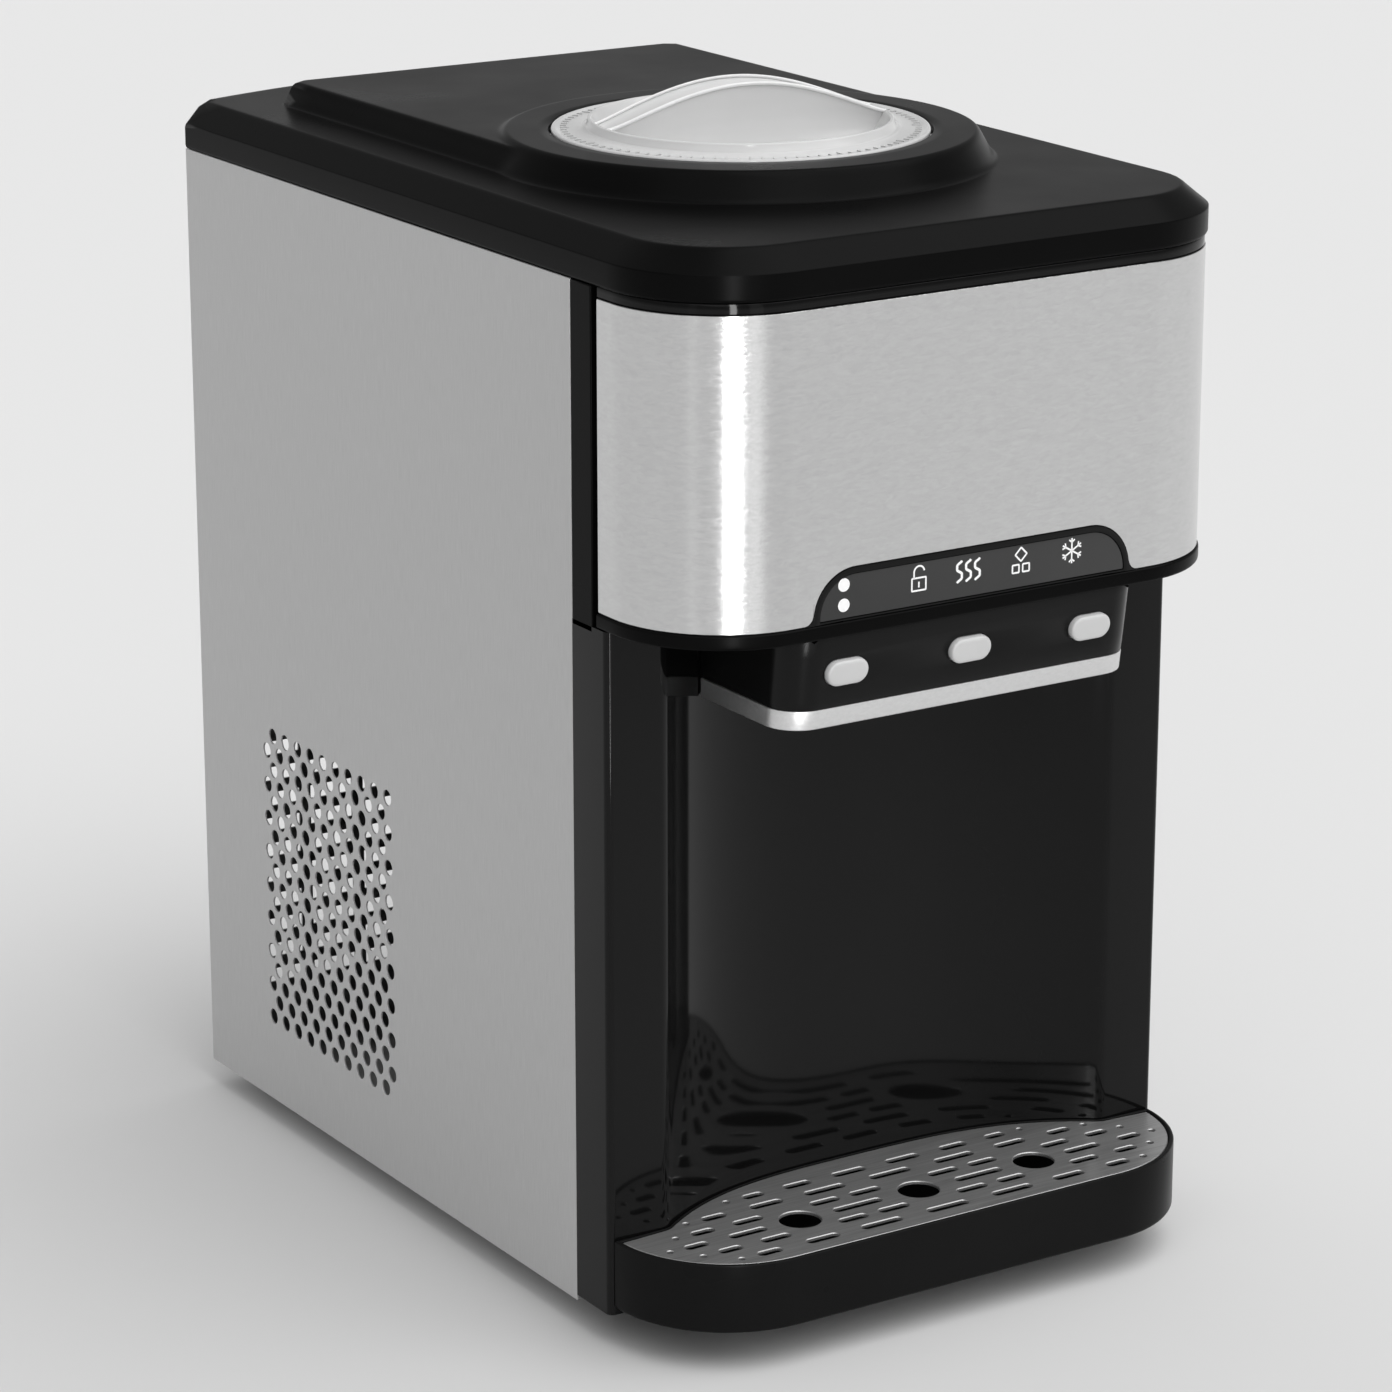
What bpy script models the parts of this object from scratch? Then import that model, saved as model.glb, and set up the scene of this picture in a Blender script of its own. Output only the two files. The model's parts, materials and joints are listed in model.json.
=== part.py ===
"""Countertop water dispenser with an ice maker, as an assembly of separate pieces.

Metres, +Z up. The front faces -Y and +X is on the right of someone facing it.
The origin is on the table, at the centre of the machine's footprint.
"""
import math

import bmesh
import bpy
from mathutils import Matrix, Vector

for old_object in list(bpy.data.objects):
    bpy.data.objects.remove(old_object, do_unlink=True)

# Driving dimensions of the whole machine
body_width = 0.280
side_depth = 0.3326
front_reach = 0.0819
rear_bow = 0.0244
foot_height = 0.012
side_height = 0.4356

# Stock, walls and clearances that many pieces share
sheet = 0.001
moulding = 0.0025
fit_gap = 0.0003
overrun = 0.004
arc_step = 15

# Places that the driving dimensions give
half_width = body_width / 2
face_y = front_reach - (front_reach + side_depth + rear_bow) / 2
front_y = face_y - front_reach
back_y = face_y + side_depth
side_bottom = foot_height
side_top = side_bottom + side_height
inside_x = half_width - sheet - fit_gap


# Outlines in a plane


def polar(centre, radius, degrees):
    """The point of a circle at an angle."""
    turn = math.radians(degrees)
    return (centre[0] + radius * math.cos(turn), centre[1] + radius * math.sin(turn))


def circle(centre, radius, steps):
    """A circle as a closed outline."""
    return [polar(centre, radius, 360 * i / steps) for i in range(steps)]


def rectangle(low, high):
    """A rectangle between two corners."""
    return [low, (high[0], low[1]), high, (low[0], high[1])]


def rounded(corners):
    """An outline from corners given as (x, y, radius)."""
    outline = []
    for i, (x, y, radius) in enumerate(corners):
        here = Vector((x, y))
        if not radius:
            outline.append((x, y))
            continue
        before = (Vector(corners[i - 1][:2]) - here).normalized()
        after = (Vector(corners[(i + 1) % len(corners)][:2]) - here).normalized()
        half_angle = before.angle(after) / 2
        centre = here + (before + after).normalized() * (radius / math.sin(half_angle))
        start = here + before * (radius / math.tan(half_angle)) - centre
        turn = math.pi - 2 * half_angle
        steps = max(2, round(math.degrees(turn) / arc_step))
        if before.cross(after) > 0:
            turn = -turn
        for step in range(steps + 1):
            spoke = Matrix.Rotation(turn * step / steps, 2) @ start
            outline.append(tuple(centre + spoke))
    return outline


def rounded_rectangle(centre, width, height, radius):
    """A rectangle about a centre, with round corners."""
    x = width / 2
    y = height / 2
    signs = [(-1, -1), (1, -1), (1, 1), (-1, 1)]
    return rounded([(centre[0] + x * a, centre[1] + y * b, radius) for a, b in signs])


def stadium(width, height, end_steps):
    """A slot outline about the origin, with a half circle at each end."""
    radius = height / 2
    reach = width / 2 - radius
    right = [polar((reach, 0), radius, -90 + 180 * i / end_steps) for i in range(end_steps + 1)]
    left = [polar((-reach, 0), radius, 90 + 180 * i / end_steps) for i in range(end_steps + 1)]
    return right + left


def offset(path, distance, closed=False):
    """A path moved to its left by a distance, with mitred corners."""
    moved = []
    last = len(path) - 1
    for i, point in enumerate(path):
        here = Vector(point)
        normals = []
        if closed or i > 0:
            step = here - Vector(path[i - 1])
            normals.append(Vector((-step.y, step.x)).normalized())
        if closed or i < last:
            step = Vector(path[(i + 1) % len(path)]) - here
            normals.append(Vector((-step.y, step.x)).normalized())
        bisector = (normals[0] + normals[-1]).normalized()
        moved.append(tuple(here + bisector * (distance / bisector.dot(normals[0]))))
    return moved


# Shapes, as points and faces


def loft(rings):
    """A skin through rings of equally many points, closed at both ends."""
    count = len(rings[0])
    points = [point for ring in rings for point in ring]
    faces = [tuple(range(count)), tuple(range(len(points) - count, len(points)))]
    for start in range(0, len(points) - count, count):
        for i in range(count):
            j = (i + 1) % count
            faces.append((start + i, start + j, start + count + j, start + count + i))
    return points, faces


def upright(outline, low, high):
    """A plan outline drawn up from one height to another."""
    return stack([(outline, low), (outline, high)])


def stack(levels):
    """Plan outlines, each at its height, skinned from the first to the last."""
    return loft([[(x, y, height) for x, y in outline] for outline, height in levels])


def along_y(outline, low, high):
    """An (x, z) outline drawn along Y."""
    return loft([[(x, y, z) for x, z in outline] for y in (low, high)])


def along_x(outline, low, high):
    """A (y, z) outline drawn along X."""
    return loft([[(x, y, z) for y, z in outline] for x in (low, high)])


def block(low, high):
    """A box between two corners."""
    return upright(rectangle(low[:2], high[:2]), low[2], high[2])


def turned(profile, steps, ring=False):
    """(radius, height) pairs turned about Z; a ring's profile closes on itself."""
    points = []
    faces = []
    rows = []
    for radius, height in profile:
        if radius:
            rows.append([len(points) + i for i in range(steps)])
            points += [(x, y, height) for x, y in circle((0, 0), radius, steps)]
        else:
            rows.append([len(points)] * steps)
            points.append((0, 0, height))
    following = rows[1:]
    if ring:
        following.append(rows[0])
    else:
        faces += [tuple(row) for row in (rows[0], rows[-1]) if row[0] != row[1]]
    for low, high in zip(rows, following):
        for i in range(steps):
            j = (i + 1) % steps
            corners = dict.fromkeys((low[i], low[j], high[j], high[i]))
            if len(corners) > 2:
                faces.append(tuple(corners))
    return points, faces


def placed(shape, matrix):
    """A shape moved by a matrix."""
    points, faces = shape
    return [tuple(matrix @ Vector(point)) for point in points], faces


def moved(shape, x, y, z):
    """A shape moved along the axes."""
    return placed(shape, Matrix.Translation((x, y, z)))


def laid_along_y(shape):
    """A shape turned so that its +Z points to +Y."""
    return placed(shape, Matrix.Rotation(math.radians(-90), 4, "X"))


def laid_along_x(shape):
    """A shape turned so that its +Z points to +X."""
    return placed(shape, Matrix.Rotation(math.radians(90), 4, "Y"))


def group(shapes):
    """Several separate shapes in one."""
    points = []
    faces = []
    for shape_points, shape_faces in shapes:
        start = len(points)
        points += shape_points
        faces += [tuple(start + index for index in face) for face in shape_faces]
    return points, faces


# Objects


finishes = {}
places = {}


def finish(name, colour, roughness, metallic=0.0):
    """A material, made once."""
    if name not in finishes:
        material = bpy.data.materials.new(name)
        material.use_nodes = True
        shader = material.node_tree.nodes["Principled BSDF"]
        shader.inputs["Base Color"].default_value = (*colour, 1)
        shader.inputs["Roughness"].default_value = roughness
        shader.inputs["Metallic"].default_value = metallic
        finishes[name] = material
    return finishes[name]


def add_mesh(name, shape, origin):
    """An object with the shape's mesh, its faces outwards and its origin at a point."""
    points, faces = placed(shape, Matrix.Translation([-value for value in origin]))
    mesh = bpy.data.meshes.new(name)
    mesh.from_pydata(points, [], faces)
    work = bmesh.new()
    work.from_mesh(mesh)
    bmesh.ops.recalc_face_normals(work, faces=work.faces)
    work.to_mesh(mesh)
    work.free()
    item = bpy.data.objects.new(name, mesh)
    bpy.context.collection.objects.link(item)
    item.location = origin
    return item


def settle(item, name, material, origin, parent):
    """Gives a piece its material and hangs it on its parent."""
    item.data.materials.append(material)
    places[name] = Vector(origin)
    if parent:
        item.parent = bpy.data.objects[parent]
        item.location = Vector(origin) - places[parent]
    return item


def make(name, shape, material, origin=(0, 0, 0), parent="dispenser"):
    """A piece of the machine."""
    item = add_mesh(name, shape, origin)
    item.data.shade_smooth()
    item.data.set_sharp_from_angle(angle=math.radians(32))
    return settle(item, name, material, origin, parent)


def combine(item, shape, operation):
    """Joins a shape to a piece, or cuts it away."""
    helper = add_mesh(f"{item.name}_{operation.lower()}_{len(item.modifiers)}", shape, (0, 0, 0))
    helper.hide_render = True
    helper.display_type = "WIRE"
    modifier = item.modifiers.new(helper.name, "BOOLEAN")
    modifier.operation = operation
    modifier.solver = "EXACT"
    modifier.object = helper


def join(item, *shapes):
    """Joins shapes to a piece one after another."""
    for shape in shapes:
        combine(item, shape, "UNION")


def cut(item, *shapes):
    """Cuts shapes out of a piece one after another."""
    for shape in shapes:
        combine(item, shape, "DIFFERENCE")


def make_tube(name, route, radius, material, bend_radius):
    """A tube along straight runs, with round bends."""
    curve = bpy.data.curves.new(name, "CURVE")
    curve.dimensions = "3D"
    curve.bevel_depth = radius
    curve.bevel_resolution = 1
    curve.use_fill_caps = True
    points = bent(route, bend_radius)
    spline = curve.splines.new("POLY")
    spline.points.add(len(points) - 1)
    for place, point in zip(spline.points, points):
        place.co = (*point, 1)
    item = bpy.data.objects.new(name, curve)
    bpy.context.collection.objects.link(item)
    return settle(item, name, material, (0, 0, 0), "dispenser")


def bent(route, radius):
    """A route's points, with an arc in place of each inner corner."""
    steps = 3
    points = [Vector(route[0])]
    for before, corner, after in zip(route, route[1:], route[2:]):
        here = Vector(corner)
        back = (Vector(before) - here).normalized()
        ahead = (Vector(after) - here).normalized()
        half_angle = back.angle(ahead) / 2
        centre = here + (back + ahead).normalized() * (radius / math.sin(half_angle))
        start = here + back * (radius / math.tan(half_angle)) - centre
        turn = start.rotation_difference(here + ahead * (radius / math.tan(half_angle)) - centre)
        for step in range(steps + 1):
            part_turn = Matrix.Rotation(turn.angle * step / steps, 3, turn.axis)
            points.append(centre + part_turn @ start)
    points.append(Vector(route[-1]))
    return points


root = bpy.data.objects.new("dispenser", None)
bpy.context.collection.objects.link(root)
places["dispenser"] = Vector((0, 0, 0))

side_steel = finish("brushed_side_steel", (0.40, 0.40, 0.39), 0.45, 0.6)
front_steel = finish("front_steel", (0.62, 0.62, 0.60), 0.30, 0.8)
grille_steel = finish("grille_steel", (0.42, 0.41, 0.40), 0.35, 1.0)
zinc_sheet = finish("zinc_sheet", (0.50, 0.52, 0.53), 0.45, 0.9)
satin_black = finish("satin_black_plastic", (0.020, 0.020, 0.021), 0.42)
gloss_black = finish("gloss_black_plastic", (0.012, 0.012, 0.013), 0.10)
grey_window = finish("display_window", (0.060, 0.060, 0.062), 0.15)
button_grey = finish("button_grey", (0.55, 0.55, 0.54), 0.35)
strip_metal = finish("strip_metal", (0.66, 0.66, 0.65), 0.28, 0.7)
clear_lid = finish("translucent_lid", (0.78, 0.79, 0.79), 0.25)
white_plastic = finish("white_plastic", (0.75, 0.76, 0.76), 0.40)
black_rubber = finish("black_rubber", (0.025, 0.025, 0.025), 0.80)
grey_silicone = finish("grey_silicone", (0.45, 0.46, 0.47), 0.60)
foam_white = finish("foam", (0.70, 0.70, 0.66), 0.90)
tank_steel = finish("tank_steel", (0.55, 0.55, 0.54), 0.30, 0.9)
copper = finish("copper", (0.60, 0.27, 0.16), 0.35, 1.0)
aluminium = finish("aluminium", (0.62, 0.63, 0.64), 0.40, 0.9)
board_green = finish("board_green", (0.02, 0.16, 0.07), 0.55)
shell_black = finish("painted_shell", (0.03, 0.03, 0.035), 0.35)


# Side panels: folded steel, the left one with a field of staggered round vent holes

panel_top = side_top - fit_gap
rear_flange = 0.012
flange_back = back_y - sheet - fit_gap

vent_columns = 20
vent_rows = 9
vent_hole_sides = 6
vent_hole_radius = 0.0036
vent_column_pitch = 0.0059
vent_row_pitch = 0.01606
vent_from_front = 0.157
vent_from_bottom = 0.0413

slot_width = 0.022
slot_height = 0.0065
slot_bar = 0.006
slot_row_pitch = 0.0125


def panel_outline():
    """The left panel in plan, with its rear flange turned inwards."""
    outer = -half_width
    inner = outer + sheet
    flange_end = outer + rear_flange
    return [
        (outer, face_y), (inner, face_y), (inner, flange_back - sheet),
        (flange_end, flange_back - sheet), (flange_end, flange_back),
        (inner, flange_back), (inner, back_y), (outer, back_y),
    ]


def vent_field():
    """The punches of the left panel's vent."""
    punches = []
    for column in range(vent_columns):
        y = face_y + vent_from_front + column * vent_column_pitch
        raised = vent_row_pitch / 2 if (vent_columns - 1 - column) % 2 else 0
        for row in range(vent_rows):
            z = side_bottom + vent_from_bottom + row * vent_row_pitch + raised
            hole = circle((y, z), vent_hole_radius, vent_hole_sides)
            punches.append(along_x(hole, -half_width - overrun, -half_width + overrun))
    return group(punches)


def slot_field(columns, rows, start, low):
    """Rows of slots as (across, up) rectangles, from a lower corner."""
    slots = []
    for column in range(columns):
        across = start + column * (slot_width + slot_bar)
        for row in range(rows):
            up = low + row * slot_row_pitch
            slots.append(rectangle((across, up), (across + slot_width, up + slot_height)))
    return slots


def mirrored(outline):
    """An outline with left and right exchanged."""
    return [(-x, y) for x, y in reversed(outline)]


left_panel = make(
    "left_side_panel", upright(panel_outline(), side_bottom, panel_top), side_steel
)
cut(left_panel, vent_field())

right_slot_columns = 3
right_slot_rows = 8
right_panel = make(
    "right_side_panel", upright(mirrored(panel_outline()), side_bottom, panel_top), side_steel
)
right_slots = slot_field(
    right_slot_columns, right_slot_rows, face_y + vent_from_front, side_bottom + vent_from_bottom
)
cut(right_panel, group(
    along_x(slot, half_width - overrun, half_width + overrun) for slot in right_slots
))


# Back panel, with slots on the left and the service plate's opening

back_front = back_y - sheet
back_slot_columns = 3
back_slot_rows = 10
back_slot_edge = 0.0267
back_slot_from_bottom = 0.0325

plate_width = 0.074
plate_height = 0.092
plate_set = 0.068
plate_rise = 0.062
plate_thickness = 0.003
plate_lip = 0.004
plate_depth = 0.018
plate_x = half_width - plate_set
plate_z = side_bottom + plate_rise

back_panel = make(
    "back_panel",
    along_y(rectangle((-inside_x, side_bottom), (inside_x, panel_top)), back_front, back_y),
    zinc_sheet,
)
back_slots = slot_field(
    back_slot_columns, back_slot_rows, back_slot_edge - half_width,
    side_bottom + back_slot_from_bottom,
)
cut(back_panel, group(
    along_y(slot, back_front - overrun, back_y + overrun) for slot in back_slots
))
service_hole = rectangle(
    (plate_x - plate_width / 2 + plate_lip - fit_gap,
     plate_z - plate_height / 2 + plate_lip - fit_gap),
    (plate_x + plate_width / 2 - plate_lip + fit_gap,
     plate_z + plate_height / 2 - plate_lip + fit_gap),
)
cut(back_panel, along_y(service_hole, back_front - overrun, back_y + overrun))


# Screws of the back panel, down both side flanges

screw_head_radius = 0.0036
screw_head_height = 0.0016
screw_shank_radius = 0.0018
screw_reach = 0.005
screw_sides = 8
screw_x = half_width - sheet - rear_flange / 2
screw_share = 0.08


def screw_shape():
    """A pan-head screw along +Z, its head's underside at zero."""
    return turned([
        (0, -screw_reach), (screw_shank_radius, -screw_reach), (screw_shank_radius, 0),
        (screw_head_radius, 0), (screw_head_radius, screw_head_height / 2),
        (screw_head_radius / 2, screw_head_height), (0, screw_head_height),
    ], screw_sides)


screw_low = side_bottom + screw_share * side_height
screw_high = side_top - screw_share * side_height
screw_places = {
    "lower_left_screw": (-screw_x, screw_low), "lower_right_screw": (screw_x, screw_low),
    "upper_left_screw": (-screw_x, screw_high), "upper_right_screw": (screw_x, screw_high),
}
screw_holes = []
for name, (x, z) in screw_places.items():
    make(name, moved(laid_along_y(screw_shape()), x, back_y + fit_gap, z), tank_steel)
    screw_holes.append(circle((x, z), screw_shank_radius + fit_gap, screw_sides))
cut(back_panel, group(
    along_y(hole, back_front - overrun, back_y + overrun) for hole in screw_holes
))
for panel, side in ((left_panel, -1), (right_panel, 1)):
    cut(panel, group(
        along_y(hole, flange_back - sheet - overrun, back_y)
        for hole in screw_holes if hole[0][0] * side > 0
    ))


# Base pan with a tongue under the drip tray, and the rubber feet

pan_thickness = 0.0022
pan_flange = 0.012
pan_top = side_bottom + pan_thickness
tongue_set = 0.040
tongue_reach = 0.065
pad_set = 0.015
pad_height = 0.0054
pad_setback = 0.031

tongue_half_width = half_width - tongue_set
pad_half_width = tongue_half_width - pad_set
pan_back = back_front - fit_gap
base_pan = make("base_pan", upright([
    (-tongue_half_width, face_y - tongue_reach), (tongue_half_width, face_y - tongue_reach),
    (tongue_half_width, face_y + fit_gap), (inside_x, face_y + fit_gap),
    (inside_x, flange_back - sheet - fit_gap),
    (half_width - rear_flange - fit_gap, flange_back - sheet - fit_gap),
    (half_width - rear_flange - fit_gap, pan_back),
    (-half_width + rear_flange + fit_gap, pan_back),
    (-half_width + rear_flange + fit_gap, flange_back - sheet - fit_gap),
    (-inside_x, flange_back - sheet - fit_gap), (-inside_x, face_y + fit_gap),
    (-tongue_half_width, face_y + fit_gap),
], side_bottom, pan_top), zinc_sheet)
lip_depth = 0.012
lip_end = face_y + lip_depth
flange_run = (lip_end + fit_gap, flange_back - sheet - fit_gap)
for side in (-1, 1):
    edges = sorted((side * inside_x, side * (inside_x - sheet)))
    join(base_pan, block(
        (edges[0], flange_run[0], side_bottom), (edges[1], flange_run[1], pan_top + pan_flange)
    ))
join(
    base_pan,
    block(
        (-pad_half_width, face_y - tongue_reach, side_bottom),
        (pad_half_width, face_y - pad_setback, side_bottom + pad_height),
    ),
)

foot_radius = 0.012
foot_chamfer = 0.002
front_foot_set = 0.015
rear_foot_side_set = 0.030
rear_foot_set = 0.030
front_foot_x = pad_half_width
rear_foot_x = half_width - rear_foot_side_set
foot_places = {
    "front_left_foot": (-front_foot_x, face_y - front_foot_set),
    "front_right_foot": (front_foot_x, face_y - front_foot_set),
    "rear_left_foot": (-rear_foot_x, back_y - rear_foot_set),
    "rear_right_foot": (rear_foot_x, back_y - rear_foot_set),
}
foot_shape = turned([
    (0, 0), (foot_radius - foot_chamfer, 0), (foot_radius, foot_chamfer),
    (foot_radius, side_bottom - fit_gap), (0, side_bottom - fit_gap),
], 12)
for name, (x, y) in foot_places.items():
    make(name, moved(foot_shape, x, y, 0), black_rubber)


# Front frame: the two columns, the hollow niche wall between them and the posts above

column_setback = 0.0265
column_edge_radius = 0.003
niche_width_share = 0.80143
niche_fillet = 0.008
niche_power = 3.2
niche_steps = 10
niche_end_share = 0.96

niche_half_width = half_width * niche_width_share
column_y = face_y - column_setback
frame_bottom = pan_top + fit_gap
frame_start = face_y - fit_gap

cover_bottom = side_top
housing_top = cover_bottom - fit_gap
band_height = 0.0047
steel_height = 0.1279
trim_height = 0.006
band_bottom = cover_bottom - band_height
trim_top = band_bottom - steel_height
trim_bottom = trim_top - trim_height
frame_top = trim_bottom - fit_gap


def niche_y(x):
    """The niche wall's face at a distance from the middle."""
    return face_y - column_setback * abs(x / niche_half_width) ** niche_power


def niche_corners(end_x):
    """The visible face from one column to the other, as rounded corners."""
    shares = [i / niche_steps for i in range(1 - niche_steps, niche_steps)]
    shares = [-niche_end_share] + shares + [niche_end_share]
    curve = [(niche_half_width * share, niche_y(niche_half_width * share), 0) for share in shares]
    start = [(-end_x, column_y, 0), (-niche_half_width, column_y, niche_fillet)]
    end = [(niche_half_width, column_y, niche_fillet), (end_x, column_y, 0)]
    return start + curve + end


def frame_outline():
    """The lower frame in plan: one wall that follows the columns and the niche."""
    corners = niche_corners(half_width)
    corners[0] = (-half_width, column_y, column_edge_radius)
    corners[-1] = (half_width, column_y, column_edge_radius)
    ends = [(side * half_width, frame_start, 0) for side in (-1, 1)]
    face = rounded([ends[0]] + corners + [ends[1]])
    inner = offset(face, moulding)[1:-1]
    lip = [(inside_x, frame_start), (inside_x, lip_end), (half_width - moulding, lip_end)]
    return face + lip + inner[::-1] + mirrored(lip)


post_setback = 0.0157
post_width = 0.0185
post_half_width = half_width - post_width
post_y = face_y - post_setback
rail_height = 0.012
chute_half_width = 0.029
chute_notch = chute_half_width + fit_gap * 3
chute_drop = 0.0255
chute_mouth_bottom = trim_bottom - chute_drop

front_frame = make(
    "front_frame", upright(frame_outline(), frame_bottom, frame_top), gloss_black
)
post_outline = [
    (-half_width, frame_start), (-half_width, post_y), (-post_half_width, post_y),
    (-post_half_width, post_y + moulding), (-half_width + moulding, post_y + moulding),
    (-half_width + moulding, lip_end), (-inside_x, lip_end), (-inside_x, frame_start),
]
cap_outline = rectangle(
    (-half_width + sheet, column_y + sheet), (-niche_half_width - moulding, frame_start)
)
for outline in (cap_outline, mirrored(cap_outline)):
    join(front_frame, upright(outline, frame_top - moulding, frame_top))
for outline in (post_outline, mirrored(post_outline)):
    join(front_frame, upright(outline, frame_top - moulding, housing_top))
join(front_frame, block(
    (-post_half_width - moulding, post_y, housing_top - rail_height),
    (post_half_width + moulding, post_y + moulding, housing_top),
))
cut(front_frame, block(
    (-chute_notch, face_y - moulding * 2, chute_mouth_bottom - fit_gap),
    (chute_notch, face_y + moulding * 2, frame_top + overrun),
))


# Front housing: the black moulding under the cover that carries the steel front

front_corner_radius = 0.052
bulge_rear_set = 0.0189
bulge_rear = face_y - bulge_rear_set
steel_inset = 0.0008
steel_thickness = 0.0008
band_inset = 0.0012
shell_inset = steel_inset + steel_thickness + fit_gap
shell_wall = 0.002
shell_inner = shell_inset + shell_wall


def front_path(inset):
    """The bulge's face in plan, from its left rear edge round to its right rear edge."""
    edge = half_width - inset
    radius = front_corner_radius - inset
    return rounded([
        (-edge, bulge_rear, 0), (-edge, front_y + inset, radius),
        (edge, front_y + inset, radius), (edge, bulge_rear, 0),
    ])


def front_band(outer_inset, inner_inset):
    """A wall that follows the bulge's face between two insets."""
    return front_path(outer_inset) + front_path(inner_inset)[::-1]


housing_side_set = 0.0257
housing_half_width = niche_half_width - housing_side_set
opening_side_set = 0.0115
opening_front_set = 0.012
opening_rear_set = 0.002
opening_half_width = housing_half_width - opening_side_set
opening_front = front_y + opening_front_set
opening_rear = bulge_rear + opening_rear_set
tongue_x = post_half_width - fit_gap
ceiling_rear = face_y + moulding

shell_middle = (shell_inset + shell_inner) / 2
front_housing = make(
    "front_housing",
    upright(front_band(shell_inset, shell_inner), trim_bottom, housing_top),
    satin_black,
)
join(
    front_housing,
    upright(front_band(0, shell_middle), trim_bottom, trim_top),
    upright(front_band(band_inset, shell_middle), band_bottom, housing_top),
)
ceiling_outline = front_path(shell_middle) + [
    (tongue_x, bulge_rear), (tongue_x, ceiling_rear),
    (-tongue_x, ceiling_rear), (-tongue_x, bulge_rear),
]
join(front_housing, upright(ceiling_outline, trim_bottom, trim_bottom + moulding))
cut(front_housing, upright([
    (-opening_half_width, opening_front), (opening_half_width, opening_front),
    (opening_half_width, opening_rear), (chute_notch, opening_rear),
    (chute_notch, ceiling_rear + overrun), (-chute_notch, ceiling_rear + overrun),
    (-chute_notch, opening_rear), (-opening_half_width, opening_rear),
], trim_bottom - overrun, trim_bottom + moulding + overrun))

display_side_set = 0.0088
display_height = 0.022
display_half_width = housing_half_width - display_side_set
display_top = trim_top + display_height
display_corner_radius = 0.020
cutout_fillet = 0.005
bezel_border = 0.0028
bezel_foot = 0.0008
bezel_proud = 0.0002
board_side_set = 0.0097
board_half_width = display_half_width - board_side_set
board_low = trim_top + bezel_border
board_high = display_top - bezel_border * 2


def display_outline(inset, foot):
    """The display's arched shape in (x, z), moved in, and up from the steel's lower edge."""
    edge = display_half_width - inset
    low = trim_top + fit_gap + foot
    return rounded([
        (-edge, low, 0), (edge, low, 0),
        (edge, display_top - inset, display_corner_radius - inset),
        (-edge, display_top - inset, display_corner_radius - inset),
    ])


cut(front_housing, along_y(
    rectangle((-board_half_width, board_low), (board_half_width, board_high)),
    front_y - overrun, front_y + shell_inner + overrun,
))


# Steel front, wrapped round the bulge, with the display's cut-out in its lower edge

steel_front = make(
    "front_steel_panel",
    upright(
        front_band(steel_inset, steel_inset + steel_thickness),
        trim_top + fit_gap, band_bottom - fit_gap,
    ),
    front_steel,
)
cutout_bottom = trim_top - overrun
cut(steel_front, along_y(rounded([
    (-display_half_width - overrun, cutout_bottom, 0),
    (display_half_width + overrun, cutout_bottom, 0),
    (display_half_width + overrun, trim_top + fit_gap, 0),
    (display_half_width, trim_top + fit_gap, 0),
    (display_half_width, display_top, display_corner_radius),
    (-display_half_width, display_top, display_corner_radius),
    (-display_half_width, trim_top + fit_gap, 0),
    (-display_half_width - overrun, trim_top + fit_gap, 0),
]), front_y - overrun, front_y + shell_inset))


# Display: a black bezel that fills the cut-out, and the dark window inside it

bezel_front = front_y + steel_inset - bezel_proud
bezel_back = front_y + shell_inset - fit_gap
bezel = make(
    "display_bezel", along_y(display_outline(fit_gap, 0), bezel_front, bezel_back), gloss_black
)
cut(bezel, along_y(
    display_outline(bezel_border, bezel_foot), front_y - overrun, front_y + shell_inset
))
window_outline = display_outline(bezel_border + fit_gap, bezel_foot + fit_gap)
make(
    "display_window", along_y(window_outline, bezel_front + bezel_proud, bezel_back), grey_window
)


# Button housing under the bulge, with the metal strip and the spout plate below it

housing_corner_radius = 0.015
housing_setback = 0.0018
housing_height = 0.0304
strip_height = 0.0086
face_tilt = math.radians(8)
housing_bottom = trim_bottom - housing_height
strip_bottom = housing_bottom - strip_height
housing_rear = niche_y(housing_half_width) - fit_gap * 2


def housing_face_y(z):
    """The leaning front face at a height."""
    return front_y + housing_setback + (trim_bottom - z) * math.tan(face_tilt)


def housing_path(z, inset):
    """The housing's face in plan at a height."""
    edge = housing_half_width - inset
    front = housing_face_y(z) + inset
    radius = housing_corner_radius - inset
    return rounded([
        (-edge, housing_rear, 0), (-edge, front, radius), (edge, front, radius),
        (edge, housing_rear, 0),
    ])


def housing_band(z, outer_inset, thickness):
    """A wall that follows the housing's face at a height."""
    inner = housing_path(z, outer_inset + thickness)
    return housing_path(z, outer_inset) + inner[::-1]


def housing_wall(low, high, outer_inset, thickness):
    """That wall between two heights, leaning with the face."""
    return stack([(housing_band(z, outer_inset, thickness), z) for z in (low, high)])


button_pitch_share = 0.6948
button_drop = 0.0156
button_width = 0.0196
button_height = 0.0106
button_clearance = 0.0004
button_proud = 0.0025
button_travel = 0.0015
button_flange = 0.0012
button_flange_reach = 0.0018
button_chamfer = 0.0006
button_end_steps = 6
button_pitch = housing_half_width * button_pitch_share
button_z = trim_bottom - button_drop


def button_frame(x):
    """The frame on the leaning face at a button: +Y up the face, +Z outwards."""
    lean = math.sin(face_tilt)
    rise = math.cos(face_tilt)
    return Matrix((
        (1, 0, 0, x), (0, -lean, -rise, housing_face_y(button_z)),
        (0, rise, -lean, button_z), (0, 0, 0, 1),
    ))


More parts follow.
